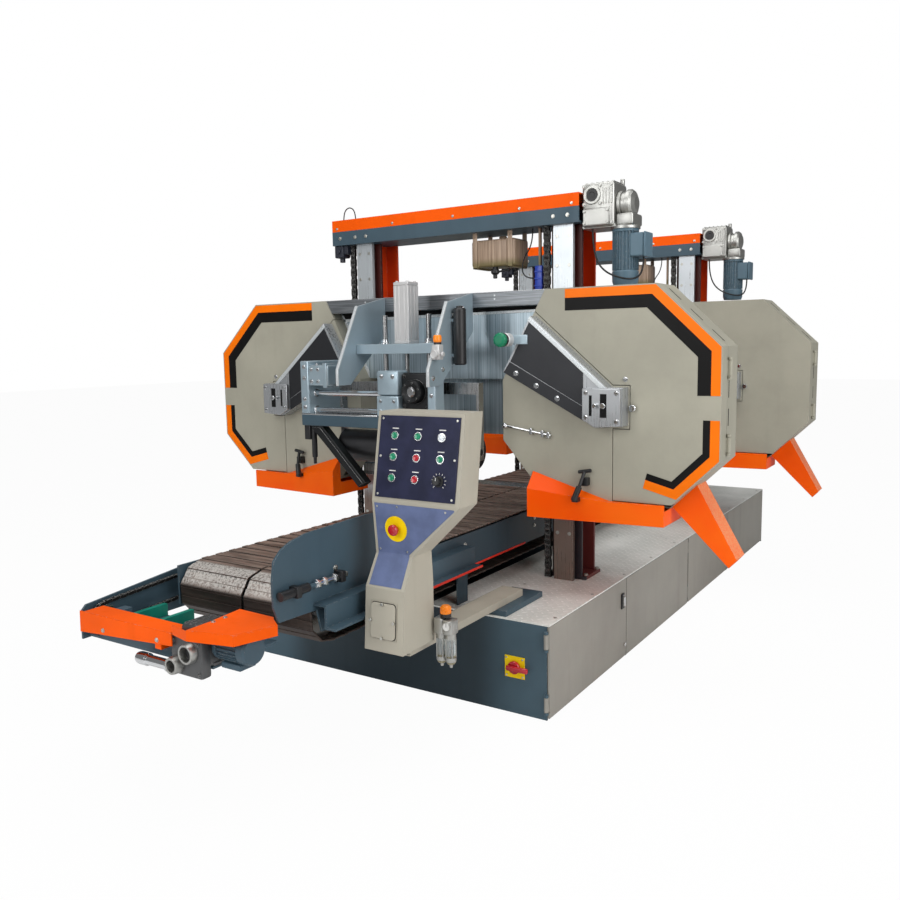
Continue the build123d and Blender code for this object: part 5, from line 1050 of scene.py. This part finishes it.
for head, along in heads:
    body = head + "head"
    cylinder_y, guide_front, slide_y = -1.600, -1.740 + along, -1.690 + along
    valve_x, valve_y, cover_x, cover_z = 0.2695, -1.760 + along, 0.125, 1.305
    oiler_x, oiler_z = 0.470, 1.520
    oiler = (oiler_x, -1.5155 + along, oiler_z)
    plates = bmesh.new()
    for side in (1, -1):
        cut_sheet(plates, [(side * 0.240, y + along, z) for y, z in gusset_line], (side * 0.008, 0, 0),
                  0.0015)
    for y in ((-1.660, -1.6135), (-1.5865, -1.540)):
        block(plates, along, (-0.240, 0.240), y, (1.500, 1.512), 0.0006, 1)
    for x in ((-0.240, -0.1335), (-0.1065, -0.0115), (0.0115, 0.1065), (0.1335, 0.240)):
        block(plates, along, x, (-1.614, -1.586), (1.5002, 1.5118), 0.0004, 1)
    block(plates, along, (-0.520, -0.470), (-1.740, -1.505), (1.195, 1.440), 0.006)
    block(plates, along, (-0.470, -0.350), (-1.740, -1.660), (1.325, 1.420), 0.008)
    block(plates, along, (-0.380, -0.356), (-1.7435, -1.658), (1.316, 1.429), 0.003)
    block(plates, along, (-0.070, 0.050), (-1.745, -1.660), (1.195, 1.285), 0.006)
    block(plates, along, (-0.068, 0.048), (-1.743, -1.662), (1.287, 1.395), 0.010, 3)
    block(plates, along, (0.200, 0.240), (-1.740, -1.670), (1.195, 1.380), 0.004)
    block(plates, along, (0.455, 0.560), (-1.5155, -1.505), (1.500, 1.540), 0.002)
    for z in (1.450, 1.600):
        block(plates, along, (0.248, 0.282), (-1.616, -1.584), (z, z + 0.014), 0.002)
    block(plates, along, (-0.2385, 0.2385), (-1.6645, -1.6602), (1.468, 1.5118), 0.001)
    settle(plates, head + "hold_down_plates", body, "zinc_sheet", galvanised, head + "hold_down")
    rims = bmesh.new()
    for side in (1, -1):
        cut_sheet(rims, [(side * 0.2375, y + along, z) for y, z in gusset_rim], (side * 0.013, 0, 0), 0.0012)
    settle(rims, head + "gusset_edges", body, "bare_steel", bright_edge, head + "hold_down")

    studs = bmesh.new()
    for x, z in ((-0.046, 1.218), (0.026, 1.218), (-0.046, 1.262), (0.026, 1.262), (-0.040, 1.370),
                 (0.020, 1.370)):
        bolt(studs, (x, -1.7435 + along, z), to_front, 0.008)
    for x in (-0.450, -0.410):
        for z in (1.345, 1.400):
            bolt(studs, (x, guide_front, z), to_front, 0.007)
        bolt(studs, (x, -1.70 + along, 1.420), to_top, 0.008, 0.005)
    for z in (1.225, 1.262, 1.360, 1.412):
        bolt(studs, (-0.495, guide_front, z), to_front, 0.008)
    for z in (1.215, 1.290, 1.360):
        bolt(studs, (0.220, guide_front, z), to_front, 0.007)
    for side in (1, -1):
        for y, z in ((-1.69, 1.40), (-1.765, 1.365), (-1.60, 1.63), (-1.52, 1.66)):
            bolt(studs, (side * 0.248, y + along, z), (side, 0, 0), 0.008)
        turned(studs, bush_profile, (side * 0.120, cylinder_y + along, 1.5115), to_top, 32)
    for z in (1.290, 1.210):
        pin(studs, (-0.472, slide_y, z), (-0.068, slide_y, z), 0.0138, 0.001, 40)
        for x in (-0.470, -0.078):
            pin(studs, (x, slide_y, z), (x + 0.008, slide_y, z), 0.020, 0.002, 32)
    bar(studs, (-0.519, -1.7415 + along, 1.189), (-0.072, -1.688 + along, 1.1965), 0.002)
    turned(studs, ((0.0, 0.0445), (0.016, 0.0445), (0.019, 0.0425), (0.022, 0.0405)),
           (cover_x, -1.7165 + along, cover_z), to_front, 40)
    settle(studs, head + "hold_down_chrome", body, "bare_steel", chrome, head + "hold_down")

    barrel = bmesh.new()
    for side in (1, -1):
        block(barrel, along, (side * 0.0325, side * 0.0375), (-1.6375, -1.5625), (1.526, 1.769), 0.001)
        block(barrel, along, (-0.0375, 0.0375), (cylinder_y + side * 0.0325, cylinder_y + side * 0.0375),
              (1.526, 1.769), 0.001)
        for rib in (-0.034, -0.014, 0.014, 0.034):
            block(barrel, along, (side * 0.037, side * 0.040), (-1.605 + rib, -1.595 + rib),
                  (1.528, 1.767), 0.0012)
            block(barrel, along, (rib - 0.005, rib + 0.005),
                  (cylinder_y + side * 0.037, cylinder_y + side * 0.040), (1.528, 1.767), 0.0012)
        block(barrel, along, (side * 0.0108, side * 0.040), (-1.640, -1.560), (1.5121, 1.5275), 0.0025)
        block(barrel, along, (-0.011, 0.011), (cylinder_y + side * 0.0108, cylinder_y + side * 0.0398),
              (1.5122, 1.5274), 0.001)
    block(barrel, along, (-0.040, 0.040), (-1.640, -1.560), (1.768, 1.783), 0.003)
    for x in (-0.028, 0.028):
        for y in (-1.628, -1.572):
            pin(barrel, (x, y + along, 1.782), (x, y + along, 1.788), 0.006, 0.001, 20)
    block(barrel, along, (0.251, 0.288), (-1.778, -1.742), (1.442, 1.506), 0.005)
    pin(barrel, (0.2895, valve_y, 1.465), (0.3005, valve_y, 1.465), 0.010, 0.002, 24)
    turned(barrel, ((0.0, 0.012), (0.013, 0.012), (0.015, 0.014), (0.017, 0.012), (0.017, 0.0)),
           (valve_x, -1.7775 + along, 1.465), to_front, 32)
    turned(barrel, ((0.029, 0.0), (0.029, 0.034), (0.0265, 0.037), (0.0265, 0.046)), oiler, to_front, 40)
    settle(barrel, head + "air_cylinder", body, "bare_steel", aluminium, head + "hold_down")

    girder = bmesh.new()
    block(girder, along, (-0.520, 0.240), (-1.740, -1.690), (1.138, 1.1945), 0.004)
    settle(girder, head + "lower_beam", body, "slate_paint", slate, head + "hold_down")

    dark = bmesh.new()
    cut_sheet(dark, upright(guide_arm, -1.738 + along), (0, 0.046, 0), 0.003)
    cut_sheet(dark, upright(guide_arm_plate, guide_front), (0, 0.050, 0), 0.001)
    block(dark, along, (0.050, 0.200), (-1.7195, -1.660), (1.225, 1.385), 0.010, 3)
    turned(dark, cover_profile, (cover_x, -1.7195 + along, cover_z), to_front, 48)
    for x, z in around(6, 0.040, 0.3):
        bolt(dark, (cover_x + x, -1.7590 + along, cover_z + z), to_front, 0.004, 0.001)
    for x, z in ((0.064, 1.240), (0.186, 1.240), (0.064, 1.370), (0.186, 1.370)):
        bolt(dark, (x, -1.7195 + along, z), to_front, 0.007)
    settle(dark, head + "guide_drive_and_arm", body, "wheel_iron", guide_casting, head + "hold_down")

    black = bmesh.new()
    turned(black, damper_profile, (0.280, cylinder_y + along, 1.4165), to_top, 40)
    turned(black, ((0.0285, 0.046), (0.030, 0.048), (0.030, 0.060), (0.0285, 0.062)), oiler, to_front, 40)
    pin(black, (valve_x, valve_y, 1.505), (valve_x, valve_y, 1.515), 0.0165, 0.002, 28)
    block(black, along, (-0.515, -0.480), (-1.730, -1.700), (1.070, 1.139), 0.003)
    pin(black, (-0.470, -1.712 + along, 0.985), (-0.470, -1.712 + along, 1.140), 0.013, 0.003, 24)
    pin(black, (-0.470, -1.712 + along, 0.955), (-0.470, -1.712 + along, 0.987), 0.008, 0.002, 20)
    settle(black, head + "damper", body, "black_plastic", black_plastic, head + "hold_down")

    knob = bmesh.new()
    turned(knob, valve_profile, (valve_x, valve_y, 1.5145), to_top, 32)
    settle(knob, head + "valve_knob", body, "orange_plastic", knob_orange, head + "hold_down")
    cap = bmesh.new()
    turned(cap, cap_profile, oiler, to_front, 40)
    for x, z in around(14, 0.0285):
        pin(cap, (oiler_x + x, -1.579 + along, oiler_z + z), (oiler_x + x, -1.592 + along, oiler_z + z),
            0.0028, 0.0008, 8)
    settle(cap, head + "oiler_cap", body, "green_plastic", cap_green, head + "hold_down")

# Press carriages and rollers: a steel bar on two guide rods, moved by the air cylinder,
# with a dark steel roller between two legs that holds the log down.
roller_face = bright_metal("dark_roller_steel", srgb(70, 70, 72), roughness=0.42, brushed=(4.0, 120.0, 120.0),
                           stain=0.6)
for head, along in heads:
    dress(turned_steel, head + "press_carriage")
    dress(roller_face, head + "press_roller")

# Console: a bent sheet box in pale enamel on a hollow arm, with a navy control plate above,
# a blue plate round the emergency stop on the neck, and a small hatch on the foot.
console_paint = enamel("console_enamel", srgb(172, 167, 153), roughness=0.45, chip=0.3, grime=0.3)
dress(console_paint, "console_box")
panel_at = Vector((0.625, -2.432, 1.1295))
panel_up, panel_out = Vector((0, 0.17545, 0.98449)), Vector((0, -0.98449, 0.17545))
neck_at = Vector((0.545, -2.451, 0.885))
neck_up, neck_out = Vector((0, -0.08570, 0.99632)), Vector((0, -0.99632, -0.08570))
hatch_at = Vector((0.531, -2.515, 0.578))
hatch_up, hatch_out = Vector((0, 0.07319, 0.99732)), Vector((0, -0.99732, 0.07319))
fold_at = Vector((0.5305, -2.475, 0.7395))
fold_up, fold_out = Vector((0, 0.5205, 0.8539)), Vector((0, -0.8539, 0.5205))
panel, neck = (panel_at, panel_up, panel_out), (neck_at, neck_up, neck_out)
foot, fold = (hatch_at, hatch_up, hatch_out), (fold_at, fold_up, fold_out)


def on_face(face, across, up, out=0.0):
    """A point on a flat face of the console: its middle, its upward and its outward direction."""
    middle, upward, outward = face
    return middle + Vector((across, 0, 0)) + upward * up + outward * out


plate_finish, tone = new_finish("control_plates", Specular_IOR_Level=0.15)
place = tone.place()
height = tone.part(place, "Z")
beside_panel = tone.node("ShaderNodeVectorMath", {"operation": "SUBTRACT"}, {0: place, 1: panel_at})
from_panel = tone.dot(beside_panel, panel_out)
cloud = tone.noise(place, 14.0, 5.0)
fine = tone.noise(place, 300.0, 2.0)
rounded, near = softened(tone, 0.0015)
on_top = height.step(0.978, 0.980)
ringed = on_top * from_panel.step(0.0042, 0.0044)
yellow = (1.0 - on_top) * (height.step(0.800, 0.802) + 1.0 - height.step(0.300, 0.302))
navy_tone = tone.blend(cloud.step(0.3, 0.7), srgb(30, 33, 56), srgb(40, 43, 70))
hatch_tone = tone.blend(cloud.step(0.3, 0.7), srgb(158, 153, 140), srgb(174, 169, 155))
yellow_tone = tone.blend(cloud.step(0.3, 0.7), srgb(240, 200, 4), srgb(255, 220, 20))
lower_tone = tone.blend(tone.math("MINIMUM", yellow, 1.0), hatch_tone, yellow_tone)
plain_tone = tone.blend(on_top, lower_tone, navy_tone)
worn_tone = tone.blend((near * 4.0).step(0.2, 1.0) * 0.3, plain_tone, srgb(150, 150, 150))
tone.lay(Base_Color=tone.blend(ringed, worn_tone, srgb(214, 216, 218)),
         Metallic=ringed,
         Roughness=0.36 + (cloud - 0.5) * 0.2 - ringed * 0.2,
         Normal=tone.bump(0.08, 0.0005, fine, rounded))
dress(plate_finish, "control_plates")

neck_plate = bmesh.new()
plate_thick = 0.0014
hole = around(24, 0.014)
ring = [(-0.085, 0.086), (-0.084, 0.0), (-0.083, -0.089), (0.046, -0.089), (0.146, 0.0), (0.240, 0.082),
        (0.236, 0.086)]
pierced = [*ring[2:], *ring[:2], *hole[12:], *hole[:13], ring[1]]    # round the edge, then round the hole
cut_sheet(neck_plate, [on_face(neck, u, v) for u, v in pierced], neck_out * plate_thick, 0)
below = ((-0.068, -0.054), (0.066, -0.054), (0.062, 0.057), (-0.0685, 0.057))
cut_sheet(neck_plate, [on_face(fold, u, v) for u, v in below], fold_out * plate_thick, 0)
bend = ((0.462, -2.4453, 0.7882), (0.5925, -2.4453, 0.7882), (0.591, -2.4434, 0.7963),
        (0.462, -2.4434, 0.7963))
cut_sheet(neck_plate, bend, neck_out * plate_thick, 0)
blue_plate = moulded("blue_plate", srgb(98, 111, 148), roughness=0.45, specular=0.3)
settle(neck_plate, "neck_plate", "machine", "navy_plate", blue_plate)

panel_screws = bmesh.new()
for u in (-0.150, 0.150):
    for v in (-0.129, 0.0, 0.129):
        spot = on_face(panel, u, v, 0.0038)
        pin(panel_screws, spot, spot + panel_out * 0.0018, 0.0042, 0.0006, 20)
for u, v in ((-0.074, 0.074), (0.205, 0.076), (-0.074, -0.078), (0.040, -0.078), (0.010, 0.078)):
    spot = on_face(neck, u, v, 0.001)
    pin(panel_screws, spot, spot + neck_out * 0.002, 0.0038, 0.0006, 20)
for u, v in ((-0.048, 0.0), (0.048, 0.0), (0.0, 0.058), (0.0, -0.058)):
    spot = on_face(foot, u, v, 0.009)
    pin(panel_screws, spot, spot + hatch_out * 0.009, 0.0055, 0.0015, 20)
settle(panel_screws, "panel_screws", "machine", "bare_steel", zinc_bolt)
hatch = bmesh.new()
outline = [(0.051 * cu + 0.014 * cos(t), 0.061 * cv + 0.014 * sin(t)) for cu, cv, start in
           ((0.72, 0.77, 0.0), (-0.72, 0.77, 0.5), (-0.72, -0.77, 1.0), (0.72, -0.77, 1.5))
           for t in [pi * (start + k / 12) for k in range(7)]]
cut_sheet(hatch, [on_face(foot, u, v, 0.0035) for u, v in outline], hatch_out * 0.0065, 0.0025)
settle(hatch, "foot_hatch", "machine", "console_paint", console_paint)
# Painted shadow: a dark rim a little wider than the hatch stands for the shaded seam round it.
seam_shade = bmesh.new()
cut_sheet(seam_shade, [on_face(foot, u * 1.035, v * 1.03, 0.0022) for u, v in outline], hatch_out * 0.002, 0)
settle(seam_shade, "hatch_seam_shadow", "machine", "black_rubber", painted_gap_shade)

# Marks on the control plate: plain white strips over the buttons and ticks round the dial.
# They are thin film, stuck to the plate.
apart_u, apart_v, plate_face = 0.095, 0.072, 0.0038    # spacing of the buttons, and height of the plate
film_thick = panel_out * 0.0006
marks = bmesh.new()
for column, row in ((-1, 1), (-1, 0), (-1, -1), (0, 1), (0, 0), (0, -1), (1, 1), (1, 0)):
    u, v = column * apart_u, row * apart_v + 0.0245
    strip = [on_face(panel, u + a * 0.013, v + b * 0.0018, plate_face)
             for a, b in ((-1, -1), (1, -1), (1, 1), (-1, 1))]
    cut_sheet(marks, strip, film_thick, 0)
for k in range(11):
    turn = radians(225 - 27 * k)
    reach, swing = Vector((cos(turn), sin(turn))), Vector((-sin(turn), cos(turn))) * 0.0009
    corners = [reach * 0.0225 - swing, reach * 0.0285 - swing, reach * 0.0285 + swing, reach * 0.0225 + swing]
    tick = [on_face(panel, apart_u + c.x, c.y - apart_v, plate_face) for c in corners]
    cut_sheet(marks, tick, film_thick, 0)
white_film = moulded("white_film", srgb(222, 222, 220), roughness=0.4)
settle(marks, "panel_marks", "machine", "console_paint", white_film)

# Buttons, lamp, dial and emergency stop: moulded caps on spring-loaded stems in chromed rings.
# The dial has a fluted skirt and a white pointer; the red mushroom stands on a yellow disc.
green_cap = moulded("green_button", srgb(10, 138, 98), roughness=0.25, coat=0.5)
red_cap = moulded("red_button", srgb(186, 24, 40), roughness=0.25, coat=0.5)
lens_white = moulded("white_lens", srgb(214, 222, 228), roughness=0.15, coat=0.6)
stem = ((0.011, -0.0034), (0.0134, -0.0036), (0.0134, -0.0064), (0.0, -0.0064))
push_profile = ((0.0, 0.0122), (0.005, 0.0122), (0.0085, 0.0129), (0.0102, 0.0122), (0.011, 0.0105), *stem)
lens_profile = ((0.0, 0.0160), (0.005, 0.0154), (0.009, 0.0136), (0.0113, 0.0100), (0.0113, 0.0075))
dial_profile = ((0.0, 0.0255), (0.011, 0.0260), (0.013, 0.0245), (0.0138, 0.010), (0.0165, 0.0085),
                (0.0188, 0.0070), (0.0188, 0.0052), (0.006, 0.0052), (0.006, -0.0034), (0.0084, -0.0036),
                (0.0084, -0.0064), (0.0, -0.0064))
mushroom_profile = ((0.0, 0.0292), (0.010, 0.0288), (0.0165, 0.0268), (0.0195, 0.0225), (0.0200, 0.0185),
                    (0.0192, 0.0150), (0.0160, 0.0122), (0.0110, 0.0120), *stem)
greens, reds = ((-1, 1), (-1, 0), (-1, -1), (0, 1), (1, 0)), ((0, 0), (0, -1))    # columns and rows
for colour, slot, cap, places in (("green", "green_button", green_cap, greens),
                                  ("red", "red_plastic", red_cap, reds)):
    for k, (column, row) in enumerate(places):
        push = bmesh.new()
        turned(push, push_profile, on_face(panel, column * apart_u, row * apart_v), panel_out, 40)
        name = "%s_button_%d" % (colour, k + 1)
        settle(push, name + "_cap", name, slot, cap, name)
lens = bmesh.new()
turned(lens, lens_profile, on_face(panel, apart_u, apart_v), panel_out, 40)
settle(lens, "lamp_lens", "machine", "console_paint", lens_white)
dial = bmesh.new()
turned(dial, dial_profile, on_face(panel, apart_u, -apart_v), panel_out, 48)
for across, up in around(12, 0.0133):
    spot = on_face(panel, apart_u + across, up - apart_v, 0.0095)
    pin(dial, spot, spot + panel_out * 0.0150, 0.0022, 0.0006, 10)
settle(dial, "dial_knob", "speed_knob", "black_plastic", black_plastic, "speed_knob")
pointer = bmesh.new()
pointer_line = ((-0.0009, 0.001), (0.0009, 0.001), (0.0009, 0.0115), (-0.0009, 0.0115))
cut_sheet(pointer, [on_face(panel, apart_u + a, b - apart_v, 0.0252) for a, b in pointer_line],
          panel_out * 0.0012, 0.0003)
settle(pointer, "dial_pointer", "speed_knob", "console_paint", white_film, "speed_knob")
mushroom = bmesh.new()
turned(mushroom, mushroom_profile, neck_at, neck_out, 48)
settle(mushroom, "stop_mushroom", "emergency_stop", "red_plastic", red_cap, "emergency_stop")

# Main isolator: a moulded red rotary handle on a yellow plate.
# Four screws hold the plate to the front of the base.
isolator = bmesh.new()
handle_profile = ((0.0, 0.0115), (0.024, 0.0115), (0.0268, 0.0085), (0.0268, 0.0), (0.006, 0.0),
                  (0.006, -0.012))
turned(isolator, handle_profile, (0.645, -1.8052, 0.197), to_front, 48)
bar(isolator, (0.6155, -1.8305, 0.1855), (0.7145, -1.8160, 0.2085), 0.007, 3)
settle(isolator, "isolator_grip", "isolator_handle", "red_plastic", red_cap, "isolator_handle")
isolator_screws = bmesh.new()
for x in (0.608, 0.682):
    for z in (0.160, 0.234):
        pin(isolator_screws, (x, -1.8035, z), (x, -1.8062, z), 0.0042, 0.0007, 20)
settle(isolator_screws, "isolator_screws", "machine", "bare_steel", zinc_bolt)

# Air service unit: a cast body with regulator, filter and oiler bowls in clear plastic, and a small gauge.
# A bracket holds it to the console's arm; the orange knob sets the pressure.
bowls_y, gauge, knob_foot = -2.330, (0.679, -2.3540, 0.534), (0.660, -2.330, 0.5610)
head_profile = ((0.0, 0.008), (0.0185, 0.008), (0.0190, 0.004), (0.0190, -0.012), (0.0172, -0.014))
drain_profile = ((0.0, 0.0), (0.005, 0.0), (0.006, 0.004), (0.006, 0.012), (0.014, 0.016), (0.0165, 0.022))
bowl_profile = ((0.0, 0.0), (0.012, 0.001), (0.0164, 0.006), (0.0168, 0.010), (0.0168, 0.100))
bezel_profile = ((0.0165, 0.0), (0.0165, 0.006), (0.0145, 0.007), (0.0140, 0.0045), (0.0, 0.0045))
collar_profile = ((0.006, -0.0140), (0.006, 0.0002), (0.0192, 0.0002), (0.0196, 0.001), (0.0196, 0.0110),
                  (0.0185, 0.0125), (0.010, 0.0125))
grip_profile = ((0.0, 0.0405), (0.013, 0.0405), (0.0165, 0.038), (0.0178, 0.033), (0.0182, 0.0125),
                (0.010, 0.0120))
air_body, guards, needle = bmesh.new(), bmesh.new(), bmesh.new()
bar(air_body, (0.6225, -2.3545, 0.5005), (0.6605, -2.3055, 0.5595), 0.007, 3)
bar(air_body, (0.6595, -2.3545, 0.5005), (0.6975, -2.3055, 0.5560), 0.007, 3)
bar(air_body, (0.5805, -2.3328, 0.5155), (0.6235, -2.3132, 0.5445), 0.002)
for x in (0.641, 0.679):
    turned(air_body, head_profile, (x, bowls_y, 0.4965), to_top, 36)
    turned(air_body, ((0.0172, 0.0), (0.0188, 0.002), (0.0188, 0.014), (0.0172, 0.016)),
           (x, bowls_y, 0.402), to_top, 36)
    for across, deep in around(4, 0.0176, pi / 4):
        bar(air_body, (x + across - 0.002, bowls_y + deep - 0.002, 0.414),
            (x + across + 0.002, bowls_y + deep + 0.002, 0.488), 0.0006, 1)
    turned(air_body, drain_profile, (x, bowls_y, 0.3805), to_top, 28)
    turned(guards, bowl_profile, (x, bowls_y, 0.392), to_top, 36)
turned(air_body, bezel_profile, gauge, to_front, 36)
turned(air_body, ((0.0095, 0.0), (0.0095, 0.0008), (0.013, 0.0008), (0.013, 0.0)),
       (0.6975, bowls_y, 0.530), to_right, 28)
settle(air_body, "air_unit_body", "machine", "bare_steel", cast_grey, "air_unit")
clear_finish, tone = new_finish("clear_bowl", Transmission_Weight=0.75, IOR=1.45)
place = tone.place()
level = tone.part(place, "Z").step(0.424, 0.426)
cloud = tone.noise(place, 40.0, 3.0)
plastic_tone = tone.blend(cloud, srgb(206, 216, 218), srgb(232, 236, 236))
tone.lay(Base_Color=tone.blend(level, srgb(196, 186, 150), plastic_tone),
         Roughness=0.12 + cloud * 0.12,
         Normal=tone.bump(0.05, 0.0005, cloud))
settle(guards, "air_bowls", "machine", "bare_steel", clear_finish, "air_unit")
dial_face = bmesh.new()
turned(dial_face, ((0.0, 0.0052), (0.0138, 0.0052), (0.0138, 0.0040)), gauge, to_front, 36)
settle(dial_face, "air_gauge_face", "machine", "console_paint", white_film, "air_unit")
bar(needle, (0.6782, -2.3598, 0.5335), (0.6798, -2.3588, 0.5455), 0.0002, 1)
settle(needle, "air_gauge_needle", "machine", "black_plastic", black_plastic, "air_unit")
knob_base, knob_grip = bmesh.new(), bmesh.new()
turned(knob_base, collar_profile, knob_foot, to_top, 40)
settle(knob_base, "regulator_collar", "regulator_knob", "black_plastic", black_plastic, "regulator_knob")
turned(knob_grip, grip_profile, knob_foot, to_top, 40)
for across, deep in around(18, 0.0178):
    spot = Vector((knob_foot[0] + across, knob_foot[1] + deep, 0.5740))
    pin(knob_grip, spot, spot + Vector((0, 0, 0.0215)), 0.0018, 0.0006, 8)
settle(knob_grip, "regulator_grip", "regulator_knob", "orange_plastic", knob_orange, "regulator_knob")

# Cables: black rubber leads on each gantry, from the beam to the dosing pump, in a loop over the
# beam's left end, and from the lift gearbox to its motor.
rubber = moulded("black_rubber", srgb(22, 22, 23), roughness=0.6)
for gantry, along in (("front", 0.0), ("rear", module)):
    for lead, diameter, length, points in (
            ("pump", 0.006, 0.2987, ((0.392, -1.128, 2.030), (0.392, -1.128, 1.960), (0.336, -1.128, 1.892),
                                     (0.338, -1.128, 1.804), (0.410, -1.128, 1.804))),
            ("cap", 0.006, 0.1874, ((-0.650, -1.128, 2.158), (-0.650, -1.128, 2.210), (-0.690, -1.128, 2.236),
                                    (-0.730, -1.128, 2.210), (-0.730, -1.128, 2.158))),
            ("motor", 0.008, 0.4896, ((0.700, -1.150, 2.000), (0.700, -1.150, 1.910), (0.760, -1.190, 1.810),
                                      (0.880, -1.190, 1.765), (0.916, -1.100, 1.790),
                                      (0.916, -1.100, 1.870)))):
        curve = bpy.data.curves.new(gantry + "_" + lead + "_cable", "CURVE")
        curve.dimensions, curve.bevel_depth = "3D", diameter / 2
        curve.bevel_resolution, curve.resolution_u = 5, 12
        spline = curve.splines.new("NURBS")
        spline.points.add(len(points) - 1)
        for point, (x, y, z) in zip(spline.points, points):
            point.co = (x, y + along, z, 1.0)
        spline.order_u, spline.use_endpoint_u = 3, True
        curve.materials.append(rubber)
        cable = bpy.data.objects.new(gantry + "_" + lead + "_cable", curve)
        scene.collection.objects.link(cable)
        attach(cable, "machine")
        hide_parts("cables")
        start = points[0]
